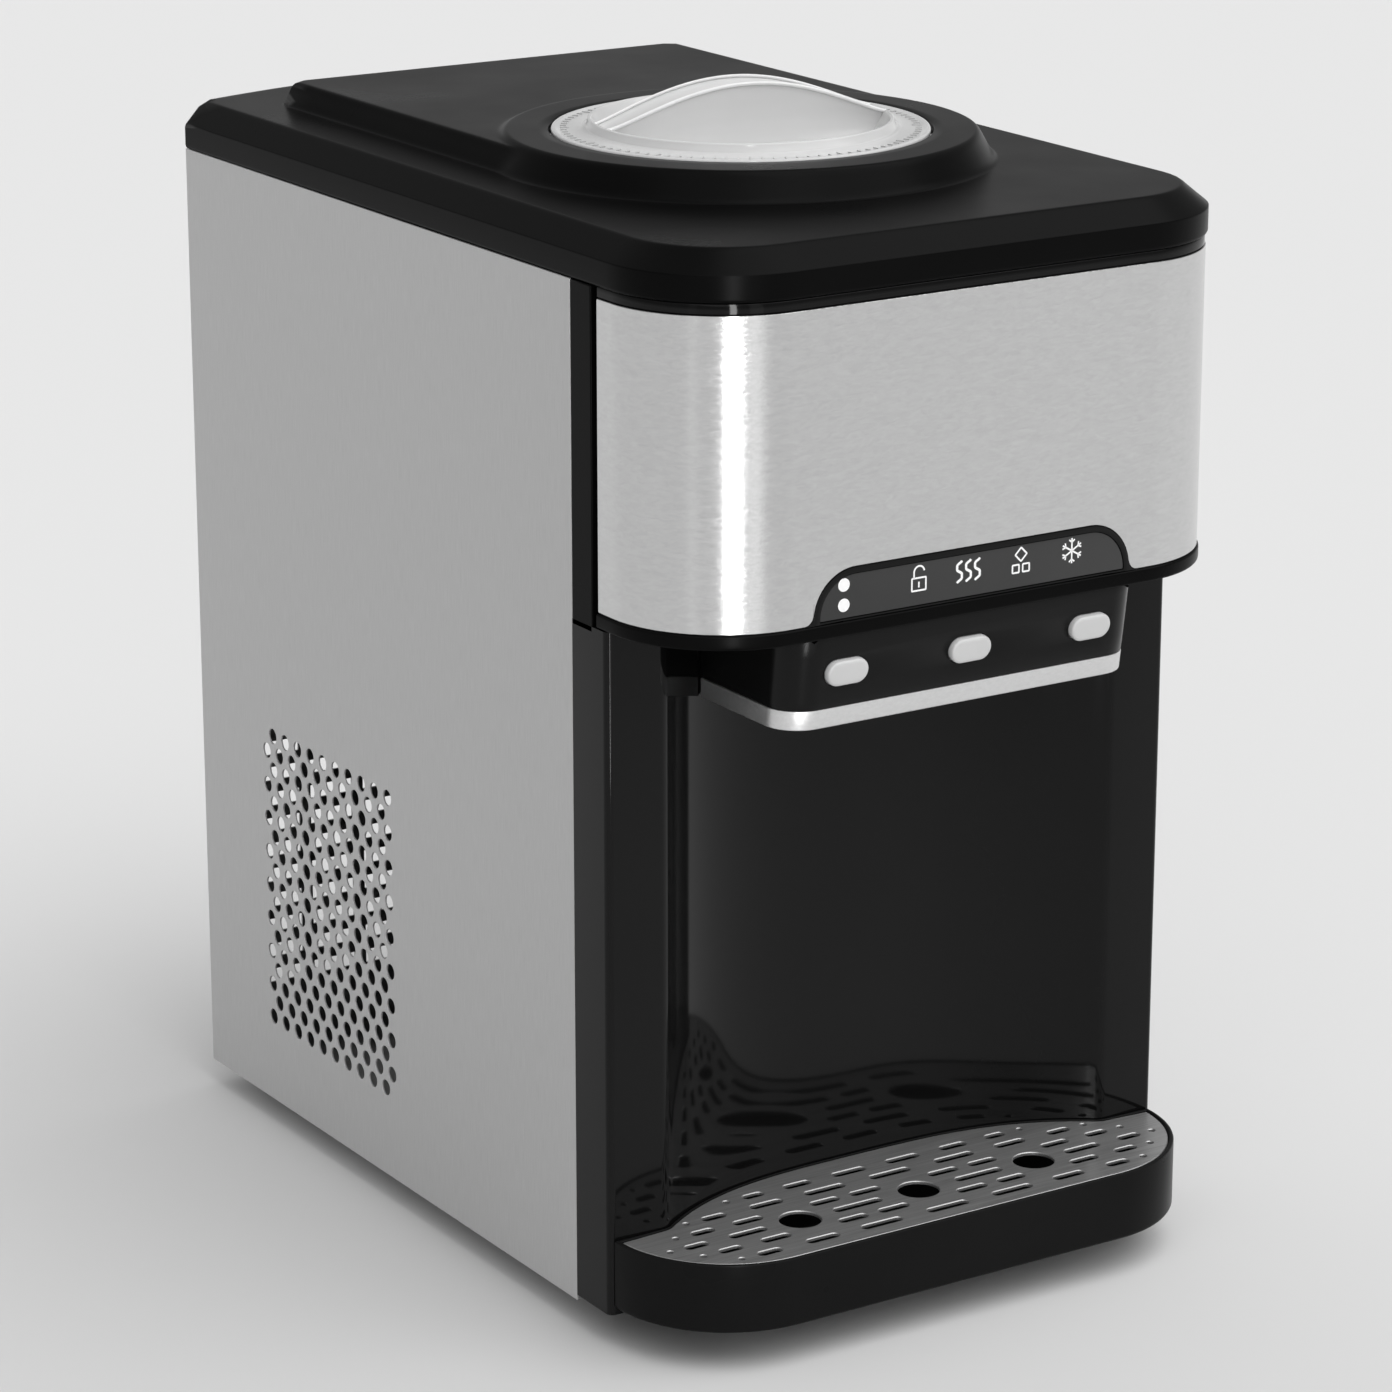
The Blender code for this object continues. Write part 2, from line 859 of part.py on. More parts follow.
button_places = {
    "hot_button": -button_pitch, "ice_button": 0, "cold_button": button_pitch
}
button_housing = make(
    "button_housing",
    housing_wall(housing_bottom, frame_top, 0, moulding),
    gloss_black,
)
hole_outline = stadium(
    button_width + button_clearance * 2, button_height + button_clearance * 2, button_end_steps
)
cut(button_housing, group(
    placed(upright(hole_outline, -moulding - overrun, overrun), button_frame(x))
    for x in button_places.values()
))
flange_top = -moulding - fit_gap / math.cos(face_tilt)
for name, x in button_places.items():
    cap = stadium(button_width, button_height, button_end_steps)
    flange = stadium(
        button_width + button_flange_reach * 2, button_height + button_flange_reach * 2,
        button_end_steps,
    )
    crown = stadium(
        button_width - button_chamfer * 2, button_height - button_chamfer * 2, button_end_steps
    )
    button = stack([
        (flange, flange_top - button_flange), (flange, flange_top), (cap, flange_top),
        (cap, button_proud - button_chamfer), (crown, button_proud),
    ])
    place = button_frame(x)
    make(name, placed(button, place), button_grey, origin=tuple(place.translation))

strip_top = housing_bottom - fit_gap
make("button_strip", housing_wall(strip_bottom, strip_top, 0, moulding), strip_metal)

floor_lift = 0.0003
floor_thickness = 0.0025
floor_upstand = 0.012
upstand_thickness = 0.0015
floor_bottom = strip_bottom + floor_lift
floor_top = floor_bottom + floor_thickness
floor_inset = moulding + fit_gap * 2
spout_x = button_pitch
spout_set = 0.045
spout_y = face_y - spout_set
spout_radius = 0.006
spout_bore = 0.0027
spout_drop = 0.007
spout_rise = 0.013
outlet_set = 0.0235
outlet_depth = 0.035
outlet_rear = face_y - outlet_set
outlet_front = outlet_rear - outlet_depth
spout_plate = make("spout_plate", stack([
    (housing_path(z, floor_inset), z) for z in (floor_bottom, floor_top)
]), satin_black)
join(spout_plate, housing_wall(
    floor_bottom, floor_top + floor_upstand, floor_inset, upstand_thickness
))
outlet_hole = rectangle((-chute_notch, outlet_front), (chute_notch, outlet_rear))
spout_low = floor_bottom - spout_drop
spout_high = floor_top + spout_rise
join(spout_plate, group(
    upright(circle((side * spout_x, spout_y), spout_radius, 12), spout_low, spout_high)
    for side in (-1, 1)
))
cut(spout_plate, group(
    upright(hole, spout_low - overrun, spout_high + overrun)
    for hole in [outlet_hole] + [
        circle((side * spout_x, spout_y), spout_bore, 12) for side in (-1, 1)
    ]
))

switch_size = 0.006
switch_height = 0.0035
board_thickness = 0.0016
switch_board_side_set = 0.0145
switch_board_half = housing_half_width - switch_board_side_set
switch_tip = flange_top - button_flange - button_travel - fit_gap
board_face = switch_tip - switch_height
board_post_x = button_pitch / 2
board_post = 0.002
switch_board = make("switch_board", placed(block(
    (-switch_board_half, -switch_size, board_face - board_thickness),
    (switch_board_half, switch_size, board_face),
), button_frame(0)), board_green)
for x in button_places.values():
    join(switch_board, placed(block(
        (x - switch_size / 2, -switch_size / 2, board_face - board_thickness / 2),
        (x + switch_size / 2, switch_size / 2, switch_tip),
    ), button_frame(0)))
for side in (-1, 1):
    join(switch_board, placed(block(
        (side * board_post_x - board_post, -board_post, board_face - board_thickness / 2),
        (side * board_post_x + board_post, board_post, -moulding - fit_gap * 2),
    ), button_frame(0)))


# Ice chute from the bin's mouth down to the spout plate, and its sprung flap

mid_shelf_share = 0.54568
auger_share = 0.3148
bin_front_set = 0.012
mid_shelf_top = side_bottom + side_height * mid_shelf_share
upper_height = side_top - mid_shelf_top
bin_front = face_y + bin_front_set
auger_z = mid_shelf_top + upper_height * auger_share
chute_wall = 0.0015
chute_rear = bin_front - fit_gap
chute_front = outlet_front + fit_gap
chute_bottom = floor_top + fit_gap
chute_floor_rear = outlet_rear - fit_gap
chute_roof_rise = 0.0285
chute_shoulder_rise = 0.006
chute_roof = auger_z + chute_roof_rise
chute_shoulder = auger_z + chute_shoulder_rise
flap_thickness = 0.0015
flap_clearance = 0.0015

chute_outline = [
    (chute_rear, chute_mouth_bottom), (chute_rear, chute_roof),
    (chute_front + chute_half_width, chute_roof), (chute_front, chute_shoulder),
    (chute_front, chute_bottom), (chute_floor_rear, chute_bottom),
    (face_y - moulding, chute_mouth_bottom),
]
ice_chute = make(
    "ice_chute", along_x(chute_outline, -chute_half_width, chute_half_width), white_plastic
)
chute_inner = chute_half_width - chute_wall
cut(ice_chute, along_x([
    (chute_rear + overrun, chute_mouth_bottom + chute_wall),
    (chute_rear + overrun, chute_roof - chute_wall),
    (chute_front + chute_half_width, chute_roof - chute_wall),
    (chute_front + chute_wall, chute_shoulder),
    (chute_front + chute_wall, chute_bottom - overrun),
    (chute_floor_rear - chute_wall, chute_bottom - overrun),
    (chute_floor_rear - chute_wall, chute_bottom + chute_wall * 2),
    (face_y - moulding, chute_mouth_bottom + chute_wall),
], -chute_inner, chute_inner))

flap_top = chute_bottom - fit_gap
flap_half_width = chute_notch - flap_clearance
flap_barrel = 0.0012
flap_pivot_y = chute_floor_rear - flap_barrel
flap_pivot_z = flap_top - flap_barrel
ice_flap = make("ice_flap", block(
    (-flap_half_width, chute_front + flap_clearance, flap_top - flap_thickness),
    (flap_half_width, flap_pivot_y, flap_top),
), black_rubber, origin=(0, flap_pivot_y, flap_pivot_z))
join(ice_flap, along_x(
    circle((flap_pivot_y, flap_pivot_z), flap_barrel, 8), -flap_half_width, flap_half_width
))


# Drip tray that follows the niche wall, and the steel grille that lies in it

tray_side_set = 0.002
tray_half_width = half_width - tray_side_set
tray_corner_steps = 7
tray_height = 0.0303
tray_clearance = 0.0005
tray_rim = 0.002
tray_ledge = 0.003
tray_floor = 0.003
grille_recess = 0.0005
grille_thickness = 0.0015
grille_clearance = 0.0005
tray_corner_radius = front_reach - column_setback - tray_clearance
tray_bottom = side_bottom + pad_height + fit_gap
tray_top = tray_bottom + tray_height
grille_top = tray_top - grille_recess
grille_bottom = grille_top - grille_thickness


def tray_outline(inset):
    """The tray in plan, moved in from its outer face."""
    centre = (tray_half_width - tray_corner_radius, column_y - tray_clearance)
    radius = tray_corner_radius - inset
    sweep = 90 - math.degrees(math.asin(inset / radius))
    steps = tray_corner_steps
    corner = [polar(centre, radius, sweep * i / steps - 90) for i in range(steps + 1)]
    rear = offset(rounded(niche_corners(corner[-1][0])), -tray_clearance - inset)
    return mirrored(corner) + corner + rear[-2:0:-1]


drip_tray = make("drip_tray", stack([
    (tray_outline(0), tray_bottom),
    (tray_outline(0), tray_top),
    (tray_outline(tray_rim), tray_top),
    (tray_outline(tray_rim), grille_bottom - fit_gap),
    (tray_outline(tray_rim + tray_ledge), grille_bottom - fit_gap),
    (tray_outline(tray_rim + tray_ledge), tray_bottom + tray_floor),
]), satin_black, origin=(0, column_y, tray_bottom))

grille_half = tray_half_width - tray_rim
grille_first_row = 0.0124
grille_row_pitch = 0.0107
grille_slot_height = 0.0044
grille_dot = 0.0030
grille_hole_radius = 0.009
grille_hole_share = 0.4427

# Each row: slot centres, slot lengths and the end dot's place, as shares of the half width
row_a_shares = ((0, 0.151), (0.246, 0.148), (0.464, 0.116), (0.656, 0.085)), 0.757
row_b_shares = ((0.148, 0.111), (0.299, 0.104), (0.583, 0.104), (0.747, 0.081)), 0.844
row_c_shares = ((0.229, 0.177), (0.633, 0.133), (0.819, 0.083)), 0.912
row_d_shares = ((0.102, 0.123), (0.297, 0.100), (0.461, 0.074)), 0.560
grille_rows_shares = (
    row_a_shares, row_b_shares, row_c_shares, row_b_shares, row_a_shares, row_d_shares
)


def grille_punches():
    """The slots, dots and the three drain holes of the grille, in plan."""
    punches = []
    for row, (slots_shares, dot_share) in enumerate(grille_rows_shares):
        y = front_y + grille_first_row + row * grille_row_pitch
        places = []
        for centre_share, length_share in slots_shares:
            slot = stadium(length_share * grille_half, grille_slot_height, 2)
            places.append((centre_share, slot))
        places.append((dot_share, circle((0, 0), grille_dot / 2, 6)))
        for share, shape in places:
            for side in (-1, 1) if share else (1,):
                x = side * share * grille_half
                punches.append([(x + a, y + b) for a, b in shape])
    hole_y = front_y + grille_first_row + grille_row_pitch * 2
    for side in (-1, 0, 1):
        hole_x = side * grille_hole_share * grille_half
        punches.append(circle((hole_x, hole_y), grille_hole_radius, 14))
    return punches


drip_grille = make("drip_grille", stack([
    (tray_outline(tray_rim + grille_clearance), grille_bottom),
    (tray_outline(tray_rim + grille_clearance), grille_top),
]), grille_steel, origin=(0, column_y, grille_bottom), parent="drip_tray")
cut(drip_grille, group(
    upright(punch, grille_bottom - overrun, grille_top + overrun) for punch in grille_punches()
))


# Top cover: a hollow lid with a chamfered edge, a raised plateau and a round collar

cover_skirt = 0.011
chamfer_width = 0.011
chamfer_height = 0.009
rear_steps = 10
plateau_side_set = 0.0355
plateau_rise = 0.0105
plateau_flank = 0.0045
plateau_rear_set = 0.0236
plateau_corner_radius = 0.006
collar_rise = 0.0125
collar_reach = 0.0025
collar_flank = 0.007
collar_sides = 40
port_share = 0.2766
recess_set = 0.0258
recess_depth = 0.0045
port_ledge = 0.0077
port_sides = 36

plateau_half_width = half_width - plateau_side_set
collar_radius = plateau_half_width + collar_reach
recess_radius = collar_radius - recess_set
port_hole_radius = recess_radius - port_ledge
cover_shoulder = cover_bottom + cover_skirt
cover_top = cover_shoulder + chamfer_height
plateau_top = cover_top + plateau_rise
collar_top = cover_top + collar_rise
port_y = face_y + side_depth * port_share
recess_floor = collar_top - recess_depth


def cover_outline(inset, rear_inset):
    """The cover in plan, its rear edge bowed backwards."""
    edge = half_width - inset
    radius = front_corner_radius - inset
    bow_radius = (half_width ** 2 + rear_bow ** 2) / (2 * rear_bow)
    bow_centre = back_y + rear_bow - bow_radius
    corners = [(-edge, front_y + inset, radius), (edge, front_y + inset, radius)]
    for step in range(rear_steps + 1):
        x = edge * (1 - 2 * step / rear_steps)
        corners.append((x, bow_centre + math.sqrt(bow_radius ** 2 - x ** 2) - rear_inset, 0))
    return rounded(corners)


def plateau_outline(inset):
    """The plateau in plan: round in front, straight at the sides, square behind."""
    reach = plateau_half_width - inset
    rear = back_y - plateau_rear_set - inset
    steps = 16
    front = [polar((0, port_y), reach, 180 + 180 * i / steps) for i in range(steps + 1)]
    corners = [(x, y, 0) for x, y in front]
    corners += [(reach, rear, plateau_corner_radius), (-reach, rear, plateau_corner_radius)]
    return rounded(corners)


def port_disc(radius, low, high, sides=port_sides):
    """A round block about the port's centre."""
    return upright(circle((0, port_y), radius, sides), low, high)


top_cover = make("top_cover", stack([
    (cover_outline(0, 0), cover_bottom),
    (cover_outline(0, 0), cover_shoulder),
    (cover_outline(chamfer_width, 0), cover_top),
]), satin_black)
join(
    top_cover,
    stack([
        (plateau_outline(0), cover_top - moulding / 2), (plateau_outline(0), cover_top),
        (plateau_outline(plateau_flank), plateau_top),
    ]),
    stack([
        (circle((0, port_y), collar_radius, collar_sides), cover_top - moulding / 3),
        (circle((0, port_y), collar_radius, collar_sides), cover_top),
        (circle((0, port_y), collar_radius - collar_flank, collar_sides), collar_top),
    ]),
)
chamfer_inner = chamfer_width + moulding
cut(
    top_cover,
    stack([
        (cover_outline(moulding, moulding), cover_bottom - overrun),
        (cover_outline(moulding, moulding), cover_shoulder - moulding / 2),
        (cover_outline(chamfer_inner, moulding), cover_top - moulding),
    ]),
    stack([
        (plateau_outline(plateau_flank + moulding), cover_top - moulding * 2),
        (plateau_outline(plateau_flank + moulding), plateau_top - moulding),
    ]),
    port_disc(recess_radius, recess_floor, collar_top + overrun),
    port_disc(port_hole_radius, cover_top - moulding * 3, recess_floor + overrun),
)


# Bottle port: the funnel that hangs in the collar's recess

port_flange_gap = 0.0007
port_flange = 0.0017
port_wall = 0.002
port_clearance = 0.001
cup_depth = 0.0215
cone_depth = 0.005
neck_radius = 0.018
neck_length = 0.016
funnel_sides = 28

port_flange_radius = recess_radius - port_flange_gap
port_seat = recess_floor + fit_gap
port_face = port_seat + port_flange
cup_radius = port_hole_radius - port_clearance
cup_floor = port_face - cup_depth
neck_bottom = cup_floor - cone_depth - neck_length
make("bottle_port", moved(turned([
    (cup_radius - port_wall, port_face), (port_flange_radius, port_face),
    (port_flange_radius, port_seat), (cup_radius, port_seat),
    (cup_radius, cup_floor), (neck_radius, cup_floor - cone_depth),
    (neck_radius, neck_bottom), (neck_radius - port_wall, neck_bottom),
    (neck_radius - port_wall, cup_floor - cone_depth + port_wall),
    (cup_radius - port_wall, cup_floor + port_wall),
], funnel_sides, ring=True), 0, port_y, 0), white_plastic)


# Port lid: a dished translucent disc with a raised lip and a crescent grip

lid_gap = 0.0012
lid_rim = 0.0027
lid_wall = 0.002
lid_ledge = 0.0143
lid_lip = 0.0039
lid_lip_width = 0.0015
lid_lip_lean = 0.0012
lid_dish_depth = 0.006
lid_slope = 0.0097
grip_sink = 0.0006
grip_bury = 0.0002
grip_rise = 0.0158
grip_power = 1.3
grip_half_thickness = 0.0102
grip_root = 0.0115
grip_end_set = 0.0025
grip_steps = 14
grip_turn = math.radians(-10.5)

lid_radius = recess_radius - lid_gap
lid_step_radius = lid_radius - lid_ledge
lid_dish_radius = lid_step_radius - lid_slope
grip_half_length = lid_step_radius - grip_end_set
lid_seat = port_face + fit_gap
lid_top = lid_seat + lid_rim
lip_top = lid_top + lid_lip
lip_radius = lid_step_radius - lid_lip_lean
dish_z = lid_top - lid_dish_depth
port_lid = make("port_lid", moved(turned([
    (0, dish_z - lid_wall), (lid_dish_radius, dish_z - lid_wall),
    (lid_step_radius, lid_seat - lid_wall), (lid_step_radius + lid_wall, lid_seat),
    (lid_radius, lid_seat), (lid_radius, lid_top - lid_wall / 4),
    (lid_radius - lid_wall / 4, lid_top), (lid_step_radius, lid_top),
    (lip_radius, lip_top), (lip_radius - lid_lip_width, lip_top),
    (lid_dish_radius, dish_z), (0, dish_z),
], port_sides), 0, port_y, 0), clear_lid, origin=(0, port_y, lid_seat))


def grip_foot(x):
    """The middle of the lid's wall under the grip."""
    slope_share = max(0, abs(x) - lid_dish_radius) / lid_slope
    low = dish_z - lid_wall / 2
    return low + slope_share * (lid_seat + lid_wall / 2 - low)


def grip_outline(lift):
    """The grip's arch in (x, z), from rim to rim, and its foot inside the lid's wall."""
    arch = []
    for i in range(grip_steps + 1):
        share = math.cos(math.pi * i / grip_steps)
        x = grip_half_length * share
        fullness = max(0, 1 - share * share) ** grip_power
        z = lip_top - grip_sink + (grip_rise + grip_sink) * fullness - lift
        arch.append((x, max(z, grip_foot(x) + grip_bury)))
    return arch + [(x, grip_foot(x)) for x in (
        -grip_half_length, -lid_dish_radius, lid_dish_radius, grip_half_length
    )]


grip_lift = 0.0012
grip_sections = (
    (-grip_root, grip_lift * 4), (-grip_half_thickness, grip_lift), (0, 0),
    (grip_half_thickness, grip_lift), (grip_root, grip_lift * 4),
)


def grip_place(x, across, z):
    """A point of the grip on the lid, which stands turned on its axis."""
    return (
        x * math.cos(grip_turn) - across * math.sin(grip_turn),
        port_y + x * math.sin(grip_turn) + across * math.cos(grip_turn), z,
    )


join(port_lid, loft([
    [grip_place(x, across, z) for x, z in grip_outline(lift)]
    for across, lift in grip_sections
]))


# Mid shelf, hung between the side panels, with holes for the tubes

shelf_thickness = 0.0012
shelf_flange = 0.012
shelf_bottom = mid_shelf_top - shelf_thickness
shelf_front_set = 0.014
shelf_back_set = 0.0205
shelf_front = face_y + shelf_front_set
shelf_back = back_y - shelf_back_set
tank_radius = 0.045
tank_side_gap = 0.0137
feed_side_set = 0.005
feed_share = 0.3157
pump_side_set = 0.028
pump_share = 0.2255
tank_x = inside_x - tank_radius - tank_side_gap
feed_x = tank_x + feed_side_set
feed_y = face_y + side_depth * feed_share
pump_x = tank_x + pump_side_set
pump_y = face_y + side_depth * pump_share
tube_radius = 0.0035
line_radius = 0.003
liquid_share = 0.8291
condenser_share = 0.4059
liquid_x = inside_x * liquid_share
condenser_y = face_y + side_depth * condenser_share
condenser_depth = 0.022
liquid_y = condenser_y + condenser_depth / 2
shelf_hole_radius = 0.006

mid_shelf = make(
    "mid_shelf", block((-inside_x, shelf_front, shelf_bottom), (inside_x, shelf_back, mid_shelf_top)),
    zinc_sheet,
)
for side in (-1, 1):
    edges = sorted((side * inside_x, side * (inside_x - shelf_thickness)))
    join(mid_shelf, block(
        (edges[0], shelf_front, shelf_bottom - shelf_flange), (edges[1], shelf_back, mid_shelf_top)
    ))
shelf_holes = [(liquid_x, liquid_y)]
shelf_holes += [(side * feed_x, feed_y) for side in (-1, 1)]
shelf_holes += [(side * pump_x, pump_y) for side in (-1, 1)]
cut(mid_shelf, group(
    upright(circle(place, shelf_hole_radius, 8), shelf_bottom - overrun, mid_shelf_top + overrun)
    for place in shelf_holes
))


# Ice bin: a foam-walled box with a trough for the auger

bin_width_share = 0.4758
bin_back_share = 0.9020
bin_height_share = 0.48156
bin_wall = 0.010
bin_half_width = inside_x * bin_width_share
bin_back = face_y + side_depth * bin_back_share
bin_top = mid_shelf_top + upper_height * bin_height_share
bin_bottom = mid_shelf_top + fit_gap
trough_radius = 0.026
trough_clearance = 0.002
shaft_radius = 0.005
bearing_gap = 0.0004
trough_side_rise = 0.020
trough_side_z = auger_z + trough_side_rise
bin_inner = bin_half_width - bin_wall

ice_bin = make("ice_bin", block(
    (-bin_half_width, bin_front, bin_bottom), (bin_half_width, bin_back, bin_top)
), foam_white)
trough = [polar((0, auger_z), trough_radius, 180 + 180 * i / 8) for i in range(9)]
cut(ice_bin, along_y(
    trough + [(bin_inner, trough_side_z), (bin_inner, bin_top + overrun),
              (-bin_inner, bin_top + overrun), (-bin_inner, trough_side_z)],
    bin_front + bin_wall, bin_back - bin_wall,
))
cut(ice_bin, along_y(
    circle((0, auger_z), trough_radius - trough_clearance, 16),
    bin_front - overrun, bin_front + bin_wall + overrun,
))
cut(ice_bin, along_y(
    circle((0, auger_z), shaft_radius + bearing_gap, 12),
    bin_back - bin_wall - overrun, bin_back + overrun,
))


# Auger that pushes ice to the chute, and its gear motor behind the bin

auger_radius = trough_radius - trough_clearance * 2
auger_turns = 6
auger_turn_steps = 9
auger_shaft_sides = 10
flight_thickness = 0.003
shaft_front = bin_front + fit_gap * 4
auger_end_gap = 0.004
auger_start = bin_front + bin_wall / 2
auger_end = bin_back - bin_wall - auger_end_gap - flight_thickness
auger_pitch = (auger_end - auger_start) / auger_turns
motor_front = bin_back + fit_gap
motor_radius = 0.018
motor_length = 0.024
shaft_back = motor_front - fit_gap


def flight_ring(step):
    """One section of the auger's blade."""
    turn = math.radians(360 / auger_turn_steps) * step
    y = auger_start + auger_pitch * step / auger_turn_steps
    ring = []
    for radius, across in (
        (shaft_radius / 2, 0), (auger_radius, 0),
        (auger_radius, flight_thickness), (shaft_radius / 2, flight_thickness),
    ):
        ring.append((radius * math.sin(turn), y + across, auger_z + radius * math.cos(turn)))
    return ring


ice_auger = make("ice_auger", along_y(
    circle((0, auger_z), shaft_radius, auger_shaft_sides), shaft_front, shaft_back
), white_plastic, origin=(0, bin_front, auger_z))
join(ice_auger, loft([flight_ring(i) for i in range(auger_turns * auger_turn_steps + 1)]))

make("auger_motor", moved(laid_along_y(turned([
    (0, 0), (motor_radius, 0), (motor_radius, motor_length * 0.8),
    (motor_radius * 0.8, motor_length), (0, motor_length),
], 16)), 0, motor_front, auger_z), shell_black)


# Freezer: a bridge over the bin, the cold plate with its fingers, and the tilting ice tray

bridge_thickness = 0.0025
bridge_width_share = 0.4326
bridge_front_share = 0.6164
bridge_back_share = 0.8960
bridge_drop = 0.0086
cold_plate_width_share = 0.3244
cold_plate_front_share = 0.6584
cold_plate_depth = 0.042
bridge_inner = inside_x * bridge_width_share
bridge_front = face_y + side_depth * bridge_front_share
bridge_back = face_y + side_depth * bridge_back_share
bridge_top = side_top - bridge_drop
cold_plate_half = inside_x * cold_plate_width_share
cold_plate_front = face_y + side_depth * cold_plate_front_share
cold_plate_thickness = 0.010
finger_radius = 0.0045
finger_length = 0.0305
finger_pitch_share = 0.4
finger_row_gap = 0.020
ice_tray_side_gap = 0.005
ice_tray_front_share = 0.6374
ice_tray_depth = 0.058
ice_tray_height = 0.026
ice_tray_wall = 0.002
tray_pivot_radius = 0.0022
tray_pin_gap = 0.0004

ice_tray_drop = 0.027
finger_pitch = cold_plate_half * finger_pitch_share
ice_tray_half = bridge_inner - ice_tray_side_gap
ice_tray_front = face_y + side_depth * ice_tray_front_share
ice_tray_top = bridge_top - ice_tray_drop
ice_tray_bottom = ice_tray_top - ice_tray_height
pivot_y = ice_tray_front + ice_tray_depth - tray_pivot_radius
pivot_z = ice_tray_top - tray_pivot_radius
bridge_outer = bridge_inner + bridge_thickness
freezer_frame = make("freezer_frame", along_y([
    (-bridge_outer, bin_top + fit_gap), (-bridge_inner, bin_top + fit_gap),
    (-bridge_inner, bridge_top - bridge_thickness), (bridge_inner, bridge_top - bridge_thickness),
    (bridge_inner, bin_top + fit_gap), (bridge_outer, bin_top + fit_gap),
    (bridge_outer, bridge_top), (-bridge_outer, bridge_top),
], bridge_front, bridge_back), zinc_sheet)
cut(freezer_frame, along_x(
    circle((pivot_y, pivot_z), tray_pivot_radius + tray_pin_gap, 10),
    -bridge_outer - overrun, bridge_outer + overrun,
))

plate_top = bridge_top - bridge_thickness - fit_gap
evaporator = make("evaporator", block(
    (-cold_plate_half, cold_plate_front, plate_top - cold_plate_thickness),
    (cold_plate_half, cold_plate_front + cold_plate_depth, plate_top),
), aluminium)
finger_top = plate_top - cold_plate_thickness / 2
finger_low = plate_top - cold_plate_thickness - finger_length
plate_middle = cold_plate_front + cold_plate_depth / 2
finger_places = [
    ((i - 2) * finger_pitch, plate_middle - finger_row_gap / 2) for i in range(5)
] + [
    ((i - 1.5) * finger_pitch, plate_middle + finger_row_gap / 2) for i in range(4)
]
finger_shape = turned([
    (0, finger_low), (finger_radius / 2, finger_low), (finger_radius, finger_low + finger_radius),
    (finger_radius, finger_top), (0, finger_top),
], 8)
join(evaporator, group(moved(finger_shape, x, y, 0) for x, y in finger_places))

tray_box = rectangle(
    (-ice_tray_half, ice_tray_front), (ice_tray_half, ice_tray_front + ice_tray_depth)
)
tray_hollow = offset(tray_box, ice_tray_wall, closed=True)
ice_tray = make("ice_tray", stack([
    (tray_box, ice_tray_bottom), (tray_box, ice_tray_top), (tray_hollow, ice_tray_top),
    (tray_hollow, ice_tray_bottom + ice_tray_wall),
]), white_plastic, origin=(0, pivot_y, pivot_z))
for side in (-1, 1):
    ends = sorted((side * (ice_tray_half - ice_tray_wall / 2), side * (bridge_outer - fit_gap)))
    join(ice_tray, along_x(circle((pivot_y, pivot_z), tray_pivot_radius, 10), *ends))

tray_motor_radius = 0.013
tray_motor_length = 0.020
make("tray_motor", moved(laid_along_x(turned([
    (0, 0), (tray_motor_radius, 0), (tray_motor_radius, tray_motor_length), (0, tray_motor_length),
], 14)), -bridge_outer - fit_gap - tray_motor_length, pivot_y, pivot_z), shell_black)


# Water reservoir on four legs, with a level float on its rod

reservoir_width_share = 0.721
reservoir_front_set = 0.018
reservoir_back_share = 0.5262
reservoir_rise = 0.0044
reservoir_bottom_share = 0.5826
reservoir_half = inside_x * reservoir_width_share
reservoir_front = face_y + reservoir_front_set
reservoir_back = face_y + side_depth * reservoir_back_share
reservoir_top = side_top + reservoir_rise
reservoir_bottom = mid_shelf_top + upper_height * reservoir_bottom_share
reservoir_wall = 0.0025
leg_width = 0.018
leg_depth = 0.011
leg_inset = 0.006
leg_low = mid_shelf_top + fit_gap

reservoir_box = rectangle((-reservoir_half, reservoir_front), (reservoir_half, reservoir_back))
reservoir_hollow = offset(reservoir_box, reservoir_wall, closed=True)
reservoir_floor = reservoir_bottom + reservoir_wall
reservoir = make("water_reservoir", stack([
    (reservoir_box, reservoir_bottom), (reservoir_box, reservoir_top),
    (reservoir_hollow, reservoir_top), (reservoir_hollow, reservoir_floor),
]), white_plastic)
leg_shapes = []
for side in (-1, 1):
    edges = sorted((side * (reservoir_half - leg_inset), side * (reservoir_half - leg_inset - leg_width)))
    for leg_front in (reservoir_front + leg_inset, reservoir_back - leg_inset - leg_depth):
        leg_shapes.append(block(
            (edges[0], leg_front, leg_low),
            (edges[1], leg_front + leg_depth, reservoir_bottom + reservoir_wall / 2),
        ))
join(reservoir, group(leg_shapes))

float_width_share = 0.6
float_share = 0.4059
float_x = reservoir_half * float_width_share
float_y = face_y + side_depth * float_share
float_radius = 0.012
float_height = 0.018
float_travel = 0.045
rod_radius = 0.002
rod_gap = 0.0005
rod_drop = 0.008
rod_top = reservoir_top - rod_drop
join(reservoir, upright(
    circle((float_x, float_y), rod_radius, 8), reservoir_floor - reservoir_wall / 2, rod_top
))
float_low = reservoir_floor + fit_gap
make("reservoir_float", moved(turned([
    (rod_radius + rod_gap, float_low), (float_radius, float_low),
    (float_radius, float_low + float_height), (rod_radius + rod_gap, float_low + float_height),
], 12, ring=True), float_x, float_y, 0), white_plastic, origin=(float_x, float_y, float_low))


# Hot and cold tanks on the base pan, with a pump on each

